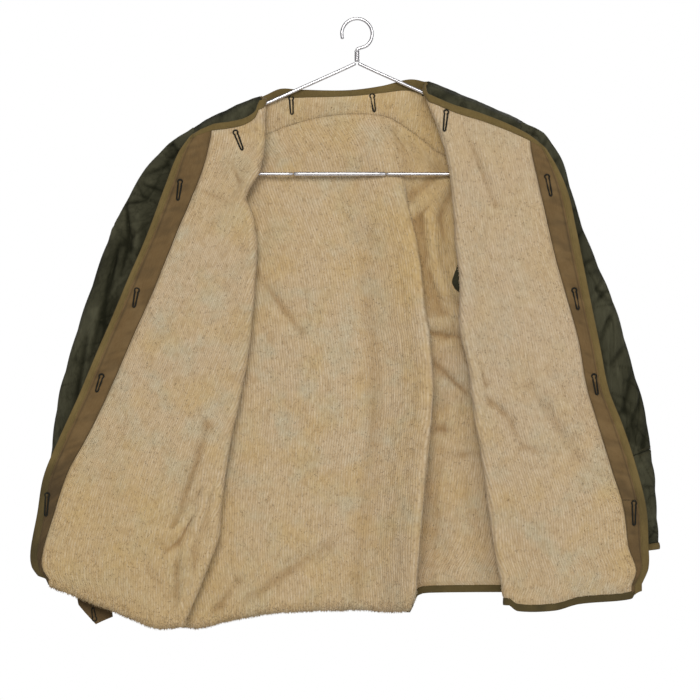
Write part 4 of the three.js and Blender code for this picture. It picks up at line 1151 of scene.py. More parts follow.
@dataclass(frozen=True)
class NylonFinish(Finish):
    """Thin woven nylon with a dull sheen, crumpled in fine wrinkles; painted sheen on soft patches, wrinkle crests and
    ridges, painted shade in its creases.
    """

    ground: Colour = (51, 50, 38)
    # lighter tone of painted sheen and highlight
    painted_sheen: Colour = (92, 90, 72)
    # darker patches, and painted shade in creases and wrinkle lines
    dark: Colour = (16, 17, 11)

    def build(self, effects: Effects) -> bpy.types.Material:
        """Makes the material."""
        material, build, cloth, place = self.start()
        depth = build.add("ShaderNodeAttribute", {}, attribute_name=SHADE_AND_SOIL_NAME).outputs["Fac"]
        weave = build.group(effects.weave, Cloth=cloth, Pitch=0.00045, Slant=0.0)
        painted_sheen = build.group(effects.patches, Place=place, Size=0.07, Shift=(2, 5, 1))
        dark = build.group(effects.patches, Place=place, Size=0.09, Shift=(7, 1, 4))
        crumple = build.noise(build.stretch(cloth, (1.0, 0.45, 1.0)), 90.0, 4.0)
        # Painted sheen on soft patches, darker patches, and a faint lighter weave
        colour = build.blend(build.math("MULTIPLY", painted_sheen, 0.25), paint(self.ground), paint(self.painted_sheen))
        colour = build.blend(build.math("MULTIPLY", dark, 0.35), colour, paint(self.dark))
        colour = build.blend(build.math("MULTIPLY", weave, 0.1), colour, paint(self.painted_sheen))
        # Painted shade along the wrinkle lines and painted highlight on the wrinkle crests
        line = build.math("ABSOLUTE", build.math("SUBTRACT", crumple, 0.5))
        colour = build.blend(build.span(line, 0.035, 0.0, 0.0, 0.35), colour, paint(self.dark))
        colour = build.blend(build.span(crumple, 0.56, 0.75, 0.0, 0.4), colour, paint(self.painted_sheen))
        # Painted highlight on ridges and painted shade in creases, from the hollow attribute
        colour = build.blend(build.span(depth, 0.0, -1.0, 0.0, 0.6), colour, paint(self.painted_sheen))
        colour = build.blend(build.span(depth, 0.0, 1.0, 0.0, 0.95), colour, paint(self.dark))
        height = build.math("ADD", build.math("MULTIPLY", weave, 0.06), crumple)
        rough = build.span(painted_sheen, 0, 1, 0.45, 0.58)
        tint = paint((200, 196, 150))
        self.end(
            build, colour, rough, height, (0.75, 0.004), Sheen_Weight=0.0, Specular_IOR_Level=0.3, Specular_Tint=tint
        )
        return material


@dataclass(frozen=True)
class WovenFinish(Finish):
    """Cotton twill or ribbed binding, darker where the hollow attribute says so: soil and a set darker tone, and on the
    facings painted shade in wrinkles and along the edge stitching.
    """

    ground: Colour
    worn: Colour
    soiled: Colour
    pitch: float
    slant: float

    def build(self, effects: Effects) -> bpy.types.Material:
        """Makes the material."""
        material, build, cloth, place = self.start()
        soil = build.add("ShaderNodeAttribute", {}, attribute_name=SHADE_AND_SOIL_NAME).outputs["Fac"]
        weave = build.group(effects.weave, Cloth=cloth, Pitch=self.pitch, Slant=self.slant)
        worn = build.group(effects.patches, Place=place, Size=0.028, Shift=(4, 2, 9))
        slubs = build.noise(build.stretch(cloth, (1.0, 0.3, 1.0)), 420.0, 2.0)
        colour = build.blend(build.math("MULTIPLY", worn, 0.45), paint(self.ground), paint(self.worn))
        colour = build.blend(build.span(slubs, 0.4, 0.7, 0.0, 0.3), colour, paint(self.worn))
        colour = build.blend(build.math("MULTIPLY", weave, 0.28), colour, paint(self.soiled))
        # Soil, and on the facings painted shade in wrinkles and painted shadow along the edges
        colour = build.blend(build.math("MULTIPLY", soil, 0.85), colour, paint(self.soiled))
        height = build.math("ADD", build.math("MULTIPLY", weave, 0.5), slubs)
        self.end(build, colour, 0.85, height, (0.45, 0.0005), Sheen_Weight=0.1, Specular_IOR_Level=0.25)
        return material


@dataclass(frozen=True)
class ThreadFinish(Finish):
    """Sewing thread with its twist."""

    ground: Colour
    light: Colour

    def build(self, effects: Effects) -> bpy.types.Material:
        """Makes the material."""
        material, build, _, place = self.start()
        twist = build.noise(place, 1500.0, 1.0)
        colour = build.blend(build.span(twist, 0.35, 0.7), paint(self.ground), paint(self.light))
        self.end(build, colour, 0.65, twist, (0.4, 0.0002), Specular_IOR_Level=0.3)
        return material


@dataclass(frozen=True)
class WireFinish(Finish):
    """Bright drawn wire with faint draw marks."""

    ground: Colour = (206, 204, 206)
    dull: Colour = (176, 172, 174)

    def build(self, effects: Effects) -> bpy.types.Material:
        """Makes the material."""
        material, build, _, place = self.start()
        dull = build.group(effects.patches, Place=place, Size=0.02, Shift=(1, 6, 3))
        marks = build.noise(place, 900.0, 2.0)
        colour = build.blend(build.math("MULTIPLY", dull, 0.5), paint(self.ground), paint(self.dull))
        rough = build.span(dull, 0, 1, 0.22, 0.3)
        self.end(build, colour, rough, marks, (0.01, 0.00002), Metallic=1.0)
        return material


class Finishes:
    """Every material of the liner and its hanger."""

    def __init__(self) -> None:
        """Builds them once."""
        effects = Effects()
        self.pile = PileFinish("ribbed_pile").build(effects)
        self.nylon = NylonFinish("quilted_nylon").build(effects)
        self.twill = WovenFinish(
            "cotton_twill", (108, 84, 50), (128, 104, 68), (64, 51, 31), 0.0011, 1.0
        ).build(effects)
        self.tape = WovenFinish(
            "edge_binding", (110, 91, 50), (132, 112, 67), (58, 50, 26), 0.0008, 0.0
        ).build(effects)
        self.thread = ThreadFinish("dark_thread", (15, 15, 11), (38, 38, 28)).build(effects)
        self.seam_thread = ThreadFinish("seam_thread", (66, 55, 28), (98, 84, 48)).build(effects)
        self.wire = WireFinish("bright_wire").build(effects)


# ------------------------------------------------------------------------------ threads and tufts
def geometry_tree(name: str, inputs: Dict[str, str]) -> Tuple[bpy.types.NodeTree, Builder, object]:
    """A Geometry Nodes tree with its own inputs besides the geometry and the material."""
    names = {"Geometry": "NodeSocketGeometry", **inputs, "Material": "NodeSocketMaterial"}
    tree = new_tree(name, "GeometryNodeTree", names, ("Geometry", "NodeSocketGeometry"))
    return tree, Builder(tree), tree.nodes.new("NodeGroupInput").outputs


def close_tree(tree: bpy.types.NodeTree, build: Builder, instances: object, material: object, smooth: bool) -> None:
    """Ends a Geometry Nodes tree in real, painted meshes."""
    real = build.add("GeometryNodeRealizeInstances", {0: instances}).outputs[0]
    shaded = build.add("GeometryNodeSetShadeSmooth", {0: real, "Shade Smooth": smooth}).outputs[0]
    painted = build.add("GeometryNodeSetMaterial", {"Geometry": shaded, "Material": material}).outputs[0]
    tree.links.new(painted, tree.nodes.new("NodeGroupOutput").inputs[0])


def thread_tree() -> bpy.types.NodeTree:
    """Stitches set one after another along a path of edges.

    Returns:
        The tree; Size is a stitch along the path, across it and away from the cloth.
    """
    tree, build, given = geometry_tree("thread_run", {"Step": "NodeSocketFloat", "Size": "NodeSocketVector"})
    curve = build.add("GeometryNodeMeshToCurve", {"Mesh": given["Geometry"]}).outputs[0]
    even = build.add("GeometryNodeResampleCurve", {"Curve": curve, "Length": given["Step"]}, mode="LENGTH").outputs[0]
    up = build.add("GeometryNodeInputNamedAttribute", {"Name": UP_NAME}, data_type="FLOAT_VECTOR").outputs["Attribute"]
    tangent = build.add("GeometryNodeInputTangent", {}).outputs[0]
    turn = build.add("FunctionNodeAxesToRotation", {0: up, 1: tangent}, primary_axis="Z", secondary_axis="X").outputs[0]
    stitch = build.add("GeometryNodeMeshUVSphere", {"Segments": 6, "Rings": 4, "Radius": 0.5}).outputs[0]
    spread = build.add(
        "GeometryNodeInstanceOnPoints", {"Points": even, "Instance": stitch, "Rotation": turn, "Scale": given["Size"]}
    )
    close_tree(tree, build, spread.outputs[0], given["Material"], True)
    return tree


def tuft_tree() -> bpy.types.NodeTree:
    """Small leaning tufts scattered over faces where the nap attribute is set.

    Returns:
        The tree; Density is tufts for one square metre where the nap is 1.
    """
    inputs = dict.fromkeys(("Density", "Length", "Width"), "NodeSocketFloat")
    inputs["Seed"] = "NodeSocketInt"
    tree, build, given = geometry_tree("pile_tufts", inputs)
    nap = build.add("GeometryNodeInputNamedAttribute", {"Name": NAP_NAME}, data_type="FLOAT").outputs["Attribute"]
    density = build.math("MULTIPLY", nap, given["Density"])
    points = build.add(
        "GeometryNodeDistributePointsOnFaces", {"Mesh": given["Geometry"], "Density": density, "Seed": given["Seed"]}
    )
    astray = build.add("FunctionNodeRandomValue", {0: (-0.8, -0.8, -1.2), 1: (0.8, 0.8, 0.2)}, data_type="FLOAT_VECTOR")
    stands = points.outputs["Normal"]
    way = build.add("ShaderNodeVectorMath", {0: stands, 1: astray.outputs[0]}, operation="ADD").outputs[0]
    turn = build.add("FunctionNodeAlignRotationToVector", {"Vector": way}, axis="Z").outputs[0]
    size = build.add("FunctionNodeRandomValue", {2: 0.55, 3: 1.3}, data_type="FLOAT").outputs[1]
    shape = build.add("ShaderNodeCombineXYZ", {0: given["Width"], 1: given["Width"], 2: given["Length"]}).outputs[0]
    scale = build.add("ShaderNodeVectorMath", {0: shape, "Scale": size}, operation="SCALE").outputs[0]
    cone = {"Vertices": 3, "Radius Top": 0.0, "Radius Bottom": 0.5, "Depth": 1.0}
    tuft = build.add("GeometryNodeMeshCone", cone).outputs[0]
    spread = build.add(
        "GeometryNodeInstanceOnPoints",
        {"Points": points.outputs["Points"], "Instance": tuft, "Rotation": turn, "Scale": scale},
    )
    close_tree(tree, build, spread.outputs[0], given["Material"], True)
    return tree


def run_tree(obj: bpy.types.Object, tree: bpy.types.NodeTree, values: Dict[str, object]) -> None:
    """Runs a tree on an object and leaves its result as the object's plain mesh.

    Args:
        obj: The object.
        tree: The Geometry Nodes tree.
        values: The inputs' values by their names.
    """
    modifier = obj.modifiers.new(tree.name, "NODES")
    modifier.node_group = tree
    sockets = [item for item in tree.interface.items_tree if item.item_type == "SOCKET" and item.in_out == "INPUT"]
    for item in sockets:
        if item.name in values:
            modifier[item.identifier] = values[item.name]
    shape = obj.evaluated_get(bpy.context.evaluated_depsgraph_get())
    result = bpy.data.meshes.new_from_object(shape)
    obj.modifiers.remove(modifier)
    source, obj.data = obj.data, result
    bpy.data.meshes.remove(source)
    result.name = obj.name


# A stitch's size along its path, across it and away from the cloth, in millimetres
SEAM_STITCH = (2.4, 0.5, 0.4)
HOLE_STITCH = (0.95, 2.9, 2.2)
TAB_STITCH = (0.95, 2.0, 1.6)


class Sewing:
    """Lays threads and tufts; its two trees are built once."""

    def __init__(self, finishes: Finishes) -> None:
        """Builds the trees."""
        self.finishes = finishes
        self.threads, self.tufts = thread_tree(), tuft_tree()

    def lay(
        self, name: str, runs: Sequence[Tuple[Array, Array]], step: float,
        size: Tuple[float, float, float], material: bpy.types.Material,
    ) -> bpy.types.Object:
        """One piece of stitches along several paths.

        Args:
            name: The piece's name.
            runs: Each path's points and its directions away from the cloth, in millimetres.
            step: From one stitch to the next.
            size: A stitch along the path, across it and away from the cloth.
            material: The thread.

        Returns:
            The object.
        """
        points, ups = np.vstack([run[0] for run in runs]), np.vstack([run[1] for run in runs])
        edges, at = [], 0
        for run in runs:
            edges += [(at + i, at + i + 1) for i in range(len(run[0]) - 1)]
            at += len(run[0])
        mesh = bpy.data.meshes.new(name)
        mesh.from_pydata((points * MM).tolist(), edges, [])
        up = mesh.attributes.new(UP_NAME, "FLOAT_VECTOR", "POINT")
        up.data.foreach_set("vector", np.ascontiguousarray(ups, dtype=np.float32).ravel())
        obj = bpy.data.objects.new(name, mesh)
        bpy.context.collection.objects.link(obj)
        values = {"Step": step * MM, "Size": [part * MM for part in size], "Material": material}
        run_tree(obj, self.threads, values)
        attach(obj, BODY)
        log.info("%s: %d faces", name, len(obj.data.polygons))
        return obj

    def raise_pile(
        self, name: str, panel: bpy.types.Object, density: float, length: float, seed: int
    ) -> bpy.types.Object:
        """Tufts over a pile panel.

        Args:
            name: The piece's name.
            panel: The panel.
            density: Tufts for one square metre.
            length: A tuft's length.
            seed: Fixes where the tufts are.

        Returns:
            The object.
        """
        obj = bpy.data.objects.new(name, panel.data.copy())
        bpy.context.collection.objects.link(obj)
        values = {
            "Density": density, "Length": length * MM, "Width": TUFT_WIDTH * MM, "Seed": seed,
            "Material": self.finishes.pile,
        }
        run_tree(obj, self.tufts, values)
        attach(obj, BODY)
        log.info("%s: %d faces", name, len(obj.data.polygons))
        return obj


def run_on(surface: Surface, us: Array, ts: Array, side: int, height: Array) -> Tuple[Array, Array]:
    """A path over a surface.

    Args:
        surface: The sewn surface.
        us: The path's u.
        ts: The path's t.
        side: Which way is away from the cloth.
        height: How far above the surface the path runs.

    Returns:
        Its points and its directions away from the cloth.
    """
    u, t = np.broadcast_arrays(np.asarray(us, float), np.asarray(ts, float))
    up = side * surface.normal(u, t)
    return surface.point(u, t) + up * np.broadcast_to(height, u.shape)[..., None], up


def keyholes(holes: Table, grid: Grid, side: int, height: Array) -> List[Tuple[Array, Array]]:
    """The edges of keyhole buttonholes, laid on a panel.

    Args:
        holes: The eyelet's middle and the far end of each slit, in elevation.
        grid: The panel.
        side: Which way is away from the cloth.
        height: How far above the sewn surface the holes lie.

    Returns:
        For each hole, one closed path.
    """
    top = grid.point + side * height[..., None] * grid.normal
    flat, normal = top.reshape(-1, 3), side * grid.normal.reshape(-1, 3)
    runs = []
    for hole in holes.rows():
        start, way = np.array([hole["x1"], hole["z1"]]), np.array([hole["x2"] - hole["x1"], hole["z2"] - hole["z1"]])
        length = np.hypot(*way)
        way = way / length
        beside = np.array([-way[1], way[0]])
        eyelet = np.radians(np.linspace(35, 325, 16))
        outline = [(EYELET * np.cos(a), EYELET * np.sin(a)) for a in eyelet]
        slit = [(s, mix(SLIT_HEAD, SLIT_FOOT, s / length)) for s in np.linspace(EYELET + 1, length, 8)]
        outline += [(s, -half) for s, half in slit] + [(length + SLIT_FOOT, 0.0)] + slit[::-1]
        outline.append(outline[0])
        path = np.array([start + a * way + b * beside for a, b in outline])
        gap = np.hypot(flat[:, 0][None] - path[:, :1], flat[:, 2][None] - path[:, 1:])
        near = np.argsort(gap, axis=1)[:, :6]
        weight = 1 / (np.take_along_axis(gap, near, axis=1) + 0.05) ** 2
        weight = weight / weight.sum(axis=1, keepdims=True)
        y = (flat[near, 1] * weight).sum(axis=1)
        up = (normal[near] * weight[..., None]).sum(axis=1)
        runs.append((xyz(path[:, 0], y, path[:, 1]), up / np.linalg.norm(up, axis=1, keepdims=True)))
    return runs


# ------------------------------------------------------------------------------ the garment's pieces
def crown(mid: float, half: float, at: Array) -> Array:
    """The rounded top of a tape, at a distance from its middle line."""
    return TAPE_CROWN * np.sqrt(np.maximum(1 - ((at - mid) / half) ** 2, 0))


def neck_crown(grid: Grid) -> Array:
    """The crown of a neck tape."""
    width = grid.ts[-1]
    return crown(width / 2, width * 0.53, grid.t)


def hem_crown(grid: Grid) -> Array:
    """The crown of a hem tape."""
    return crown((HEM_TAPE_T + HEM_END_T) / 2, (HEM_END_T - HEM_TAPE_T) * 0.55, grid.t)


def puckered(grid: Grid, seed: int) -> Array:
    """The small waves that stitching leaves in a tape."""
    return 0.22 * wave_noise(grid.across / 5 + grid.along / 5, grid.along / 6 - grid.across / 7, seed)


def stray(grid: Grid) -> None:
    """Lets the ribs of a pile wander a little from the straight grain."""
    a, b = grid.across, grid.along
    grid.across = a + 2.0 * wave_noise(a / 70, b / 60, 3) + 0.7 * wave_noise(a / 11, b / 19, 5)


def pile_relief(grid: Grid, base: Array) -> Array:
    """The pile's height with its curls; its ribs are finer than the grid.

    Args:
        grid: The panel.
        base: The pile's plain height.

    Returns:
        The height of its top.
    """
    a, b = grid.across, grid.along
    full = ease((base - BOUND) / (PILE - BOUND))
    curls = 0.4 * wave_noise(a / 4.6, b / 8, 13) + 0.5 * wave_noise(a / 17, b / 23, 17)
    return base + full * (0.45 * wave_noise(a / WALE, b / 14, 11) - 0.1 + curls)


def quilted(grid: Grid, pucker: float, seed: int) -> Array:
    """How far quilted nylon puffs up between its crossed stitching lines, with its wrinkles.

    Args:
        grid: The panel.
        pucker: The height of a puff.
        seed: Fixes the wrinkles.

    Returns:
        The height above the stitching.
    """
    a, b = (grid.along + grid.across) / SLEEVE_QUILT, (grid.along - grid.across) / SLEEVE_QUILT
    puff = np.abs(np.sin(a * np.pi) * np.sin(b * np.pi)) ** 0.6
    fine = wave_noise(grid.across / 9 + b * 2, grid.along / 7, seed) + 0.6 * wave_noise(a * 9, b * 4, seed + 1)
    return pucker * puff + 0.35 * fine * (0.3 + puff)


def shell_shade(grid: Grid) -> Array:
    """Darker along a shell's stitching lines, lighter on its puffs."""
    return np.clip(0.5 - quilted(grid, 1.0, 41) / 0.8, -0.5, 0.6)


@dataclass
class Back:
    """The back and its yoke: pile, quilted shell, neck tape and hem tape."""

    finishes: Finishes
    sewing: Sewing
    columns: Tuple[int, int, int] = (196, 104, 92)
    rows: int = 156
    shell_columns: Tuple[int, int, int] = (52, 44, 56)
    side_left: float = 180.0
    side_right: float = 120.0
    neck_from: float = 0.505
    neck_to: float = 2.255
    side: int = -1

    def __post_init__(self) -> None:
        """Lays out the surface."""
        self.surface = BackSurface()
        self.yoke_surface = YokeSurface(self.surface)

    @staticmethod
    def stations(counts: Tuple[int, int, int]) -> Array:
        """The columns' u over the three stretches of the back."""
        parts = [np.linspace(i, i + 1, count, endpoint=False) for i, count in enumerate(counts)]
        return np.append(np.concatenate(parts), 3.0)

    def base(self, grid: Grid) -> Array:
        """The pile's plain height."""
        sides = np.minimum(grid.u * self.side_left, (3 - grid.u) * self.side_right)
        seam = np.abs(grid.t - YOKE_T) * SPAN + 3
        hem = (HEM_TAPE_T - grid.t) * PAST_HEM + 2 + 9 * self.surface.roll_at(grid.u)
        return pile_height(np.minimum(np.minimum(sides, grid.t * SPAN + 1), np.minimum(seam, hem)))

    def nap(self, grid: Grid) -> Array:
        """Where tufts stand, thicker along the rolled hem."""
        clear = np.minimum(grid.u * self.side_left, (3 - grid.u) * self.side_right)
        roll = self.surface.roll_at(grid.u)
        clear = np.minimum(clear, np.minimum(grid.t * SPAN - 8, (HEM_TAPE_T - grid.t) * PAST_HEM + 1 + 3 * roll))
        return ease(clear / 3) * (1 + 4 * roll * ease((grid.t - 0.985) / 0.02))

    def build(self) -> List[bpy.types.Object]:
        """Makes the back's pieces.

        Returns:
            The pieces.
        """
        fine, coarse = self.stations(self.columns), self.stations(self.shell_columns)
        hem = np.linspace(1.0, HEM_TAPE_T + TUCK_HEM, 9)
        down = np.concatenate([np.linspace(YOKE_T, 1.0, self.rows)[:-1], hem])
        top = np.linspace(0, YOKE_T, 14)
        low_rows = np.concatenate([np.linspace(YOKE_T, 1.0, 120)[:-1], hem])
        made = []
        rolled = RolledHem(self.surface, *PILE_ROLL)
        panels = (("back", rolled, down, low_rows), ("yoke", self.yoke_surface, top, top))
        for word, surface, rows, rows_out in panels:
            grid = Grid(surface, fine, rows, straight=1.7)
            stray(grid)
            pile = Layer(
                f"{word}_pile", grid, self.side, lambda g: 0.6, lambda g: pile_relief(g, self.base(g)),
                self.finishes.pile, "wool_pile", (4, 2), self.nap,
            ).build()
            shell_grid = Grid(surface, coarse, rows_out)
            shell = Layer(
                f"{word}_shell", shell_grid, -self.side, lambda g: 0.4, lambda g: 1.4 + quilted(g, 1.4, 41),
                self.finishes.nylon, "quilted_nylon", (4, 4), shade=shell_shade,
            ).build()
            tufts = self.sewing.raise_pile(f"{word}_tufts", pile, TUFTS, 2.6, 7)
            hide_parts(word)
            made += [pile, shell, tufts]
        made += self.tapes(fine)
        return made

    def tapes(self, us: Array) -> List[bpy.types.Object]:
        """Makes the neck tape, the hem tape and their stitches."""
        neck_us = np.linspace(self.neck_from, self.neck_to, 150)
        neck = Grid(self.surface, neck_us, np.linspace(0, BACK_TAPE_T + TUCK_NECK * 0.8, 9))
        rolled = RolledHem(self.surface, *TAPE_ROLL)
        hem = Grid(rolled, us[::3], np.linspace(HEM_TAPE_T - TUCK_HEM, HEM_END_T, 11))
        made = []
        specs = (
            ("neck_tape_back", neck, BOUND + 0.6, neck_crown, 0.3),
            ("hem_tape_back", hem, HEM_TAPE_TOP, hem_crown, 0.7),
        )
        for node, grid, top, bend, dark in specs:
            tape = Layer(
                node.replace("tape", "binding"), grid, self.side, lambda g, b=bend: -SHELL - b(g),
                lambda g, b=bend, h=top: h + b(g) + puckered(g, 61), self.finishes.tape, "binding",
                shade=lambda g, d=dark: d + 0.12 * wave_noise(g.across / 30, g.along / 30, 71),
            ).build()
            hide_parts(node)
            made.append(tape)
        runs = [
            run_on(self.surface, neck_us, BACK_TAPE_T * 0.95, self.side, BOUND + 1.2),
            run_on(rolled, us[::2], HEM_TAPE_T + 0.006, self.side, HEM_TAPE_TOP + 0.7),
            run_on(rolled, us[::2], HEM_TAPE_T + 0.006, -self.side, SHELL + 0.75),
        ]
        made.append(self.sewing.lay("back_stitches", runs, 3.2, SEAM_STITCH, self.finishes.seam_thread))
        grid = Grid(self.yoke_surface, self.stations((120, 70, 40)), np.linspace(0.001, YOKE_T + 0.03, 30))
        holes = keyholes(BACK_HOLES, grid, self.side, pile_relief(grid, self.base(grid)) + 0.2)
        made.append(self.sewing.lay("back_buttonholes", holes, 0.75, HOLE_STITCH, self.finishes.thread))
        return made


@dataclass
class Front:
    """A turned-out front: pile, quilted shell, facing, tapes, stitches and buttonholes."""

    side: Side
    surface: FrontSurface
    holes: Table
    finishes: Finishes
    sewing: Sewing
    facing_seam: Optional[float] = None
    columns: Tuple[int, int, int] = (26, 20, 176)
    rows: int = 160
    side_span: float = 70.0

    def __post_init__(self) -> None:
        """Works out which way the pile faces."""
        self.main = self.surface.below_tape()
        self.rolled_tape = RolledHem(self.surface, *TAPE_ROLL)
        self.pile_side = -self.side.value

    def stations(self, counts: Tuple[int, int, int]) -> Array:
        """The columns' u: under the fold, round it and out to the front tape."""
        seam = np.linspace(0, 0.16, 8, endpoint=False)
        return np.concatenate([
            seam, np.linspace(0.16, 1, counts[0], endpoint=False), np.linspace(1, 2, counts[1], endpoint=False),
            np.linspace(2, 2.8, counts[2]), [2.82, 2.84, 2.88, 2.94, 3 + GAP_U],
        ])

    def base(self, grid: Grid) -> Array:
        """The pile's plain height, low where the facing covers it."""
        side = np.where(grid.u < 1, grid.u * self.side_span, 99)
        hem = (HEM_TAPE_T - grid.t) * PAST_HEM + 2 + 9 * self.surface.roll_at(grid.u)
        free = pile_height(np.minimum(side, np.minimum(grid.t * SPAN + 1, hem)))
        return mix(free, FACING_WELL, np.clip((grid.u - 2.8) / 0.04, 0, 1))

    def nap(self, grid: Grid) -> Array:
        """Where tufts stand, thicker along the facing and the rolled hem."""
        roll = self.surface.roll_at(grid.u)
        clear = np.minimum(grid.t * SPAN - 2, (HEM_TAPE_T - grid.t) * PAST_HEM + 1 + 3 * roll)
        rim = 1.5 * ease((grid.u - 2.74) / 0.05) + roll * ease((grid.t - 0.985) / 0.02) * 4
        return ease(clear / 3) * np.where(grid.u < 2.815, 1 + rim, 0) * ease((grid.u - 0.4) / 0.2)

    def on_facing(self, grid: Grid) -> Array:
        """The height of the facing's underside."""
        width = np.clip((grid.u - FACING_FROM_U) / (3 - FACING_FROM_U), 0, 1)
        return FACING_WELL + FACING_LIFT + 0.3 * np.sin(np.pi * width)

    def drawn(self, grid: Grid) -> Array:
        """The small cross wrinkles that its stitching draws into the facing."""
        width = np.clip((grid.u - FACING_FROM_U) / (3 - FACING_FROM_U), 0, 1)
        cross = wave_noise(grid.across / 34 + grid.along / 60, grid.along / 6.5, 23)
        waves = 0.9 * np.sign(cross) * np.abs(cross) ** 0.7 + 0.4 * wave_noise(grid.across / 9, grid.along / 15, 29)
        return waves * np.sin(np.pi * width) ** 0.4

    def facing_top(self, grid: Grid) -> Array:
        """The facing's top."""
        return self.on_facing(grid) + FACING_THICK + self.drawn(grid)

    def facing_shade(self, grid: Grid) -> Array:
        """The facing's soil, and the shade in its wrinkles and along its edge stitching."""
        # Painted shadow along the facing's inner edge and beside its tape, painted shade in its wrinkles' hollows
        rim = np.exp(-(((grid.u - FACING_FROM_U) / 0.006) ** 2)) + 0.8 * np.exp(-(((grid.u - 2.972) / 0.005) ** 2))
        return np.clip(self.soil(grid) + 0.5 * np.maximum(-self.drawn(grid) - 0.15, 0) + 0.9 * rim, 0, 1)

    def soil(self, grid: Grid) -> Array:
        """How soiled the cloth is: more towards the hem and on the left."""
        z = grid.point[..., 2]
        low = ease((-560 - z) / 130) * (1.0 if self.side is Side.LEFT else 0.3)
        spots = 0.5 + 0.5 * wave_noise(grid.across / 14, grid.along / 22, 37)
        return np.clip(low * (0.7 + 0.3 * spots) + 0.25 * spots, 0, 1)

    def build(self) -> List[bpy.types.Object]:
        """Makes the front's pieces.

        Returns:
            The pieces.
        """
        word, us = self.side.word, self.stations(self.columns)
        hem = np.linspace(1.0, HEM_TAPE_T + TUCK_HEM, 9)
        down = np.concatenate([np.linspace(0, 0.02, 5)[:-1], np.linspace(0.02, 1.0, self.rows)[:-1], hem])
        rolled = RolledHem(self.main, *PILE_ROLL)
        grid = Grid(rolled, us, down, straight=2.84)
        stray(grid)
        pile = Layer(
            f"front_pile_{word}", grid, self.pile_side, lambda g: 0.3, lambda g: pile_relief(g, self.base(g)),
            self.finishes.pile, "wool_pile", (4, 2), self.nap,
        ).build()
        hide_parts(f"front_{word}")
        shell = Layer(
            f"front_shell_{word}", Grid(rolled, self.stations((10, 12, 50)), down[::2]), -self.pile_side,
            lambda g: 0.25, lambda g: 1.1 + quilted(g, 1.4, 43), self.finishes.nylon, "quilted_nylon", (3, 3),
            shade=shell_shade,
        ).build()
        tufts = self.sewing.raise_pile(f"front_tufts_{word}", pile, TUFTS, 2.6, 9 + self.side.value)
        return [pile, shell, tufts] + self.facings(down) + self.tapes() + self.threads(down, grid)

    def facings(self, down: Array) -> List[bpy.types.Object]:
        """Makes the facing, in two lengths where a seam joins it."""
        us = np.linspace(FACING_FROM_U, 3 + GAP_U, 22)
        rows = np.linspace(0, down[-1], 300)
        cuts = [(f"facing_{self.side.word}", rows)]
        if self.facing_seam:
            upper = np.append(rows[rows < self.facing_seam - 0.002], self.facing_seam - GAP_T / 2)
            lower = np.append(self.facing_seam + GAP_T / 2, rows[rows > self.facing_seam + 0.002])
            cuts = [(f"facing_{self.side.word}", upper), (f"facing_lower_{self.side.word}", lower)]
        made = []
        for node, ts in cuts:
            piece = Layer(
                node.replace("facing", "twill_facing"), Grid(self.main, us, ts), self.pile_side, self.on_facing,
                self.facing_top, self.finishes.twill, "twill", (3, 4), shade=self.facing_shade,
            ).build()
            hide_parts(node)
            made.append(piece)
        return made

    def tapes(self) -> List[bpy.types.Object]:
        """Makes the bindings of the front edge, the neck and the hem."""
        word = self.side.word
        edge_us = np.linspace(3 - TUCK_U, 3.1, 11)
        out_us = self.stations(self.columns)[:-1]
        neck_us = np.append(out_us[(out_us > 1.04) & (out_us < 2.98)][::2], 3)
        hem_us = np.append(out_us[::2], 3)
        edge_rows = np.concatenate([np.linspace(0, 1, 260)[:-1], np.linspace(1, HEM_END_T, 12)])
        neck_rows = np.linspace(0, NECK_TAPE_T + TUCK_NECK, 9)
        hem_rows = np.linspace(HEM_TAPE_T - TUCK_HEM, HEM_END_T, 11)

        def edge_crown(grid: Grid) -> Array:
            """The rounding of the front edge's binding."""
            return crown(3.05, 0.055, grid.u)

        specs = (
            ("front", self.surface, edge_us, edge_rows, TAPE_TOP, edge_crown, 0.0),
            ("neck", NeckTapeSurface(self.surface), neck_us, neck_rows, TAPE_TOP, neck_crown, 0.0),
            ("hem", self.rolled_tape, hem_us, hem_rows, HEM_TAPE_TOP, hem_crown, 0.5),
        )
        made = []
        for place, surface, us, ts, top, bend, dark in specs:
            tape = Layer(
                f"{place}_binding_{word}", Grid(surface, us, ts), self.pile_side,
                lambda g, b=bend: -SHELL - b(g),
                lambda g, b=bend, h=top: h + b(g) + puckered(g, 67), self.finishes.tape, "binding",
                shade=lambda g, d=dark: np.clip(self.soil(g) + d, 0, 1),
            ).build()
            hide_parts(f"{place}_tape_{word}")
            made.append(tape)
        return made

    def threads(self, down: Array, grid: Grid) -> List[bpy.types.Object]:
        """Makes the lines of stitches and the buttonholes."""
        word, side = self.side.word, self.pile_side
        long = np.linspace(NECK_TAPE_T, HEM_END_T, 400)
        wide = np.linspace(2.02, 2.98, 140)
        runs = [
            run_on(self.surface, 3.008, long, side, TAPE_TOP + 0.62),
            run_on(self.surface, 3.008, long, -side, SHELL + 0.6),
            run_on(self.surface, wide, NECK_TAPE_T * 0.92, side, TAPE_TOP + 0.7),
            run_on(self.rolled_tape, np.linspace(0.02, 2.98, 240), HEM_TAPE_T + 0.006, side, HEM_TAPE_TOP + 0.7),
            run_on(self.main, FACING_FROM_U + 0.012, np.linspace(0.001, down[-1], 400), side, FACE + 0.1),
        ]
        made = [self.sewing.lay(f"front_stitches_{word}", runs, 3.2, SEAM_STITCH, self.finishes.seam_thread)]
        keep = grid.us >= 2
        turned = Grid(self.surface, grid.us[keep], grid.ts[::2])
        on_pile = pile_relief(turned, self.base(turned)) + 0.2
        holes = keyholes(self.holes, turned, side, np.where(turned.u < 2.83, on_pile, FACE + 0.5))
        made.append(self.sewing.lay(f"front_buttonholes_{word}", holes, 0.75, HOLE_STITCH, self.finishes.thread))
        return made


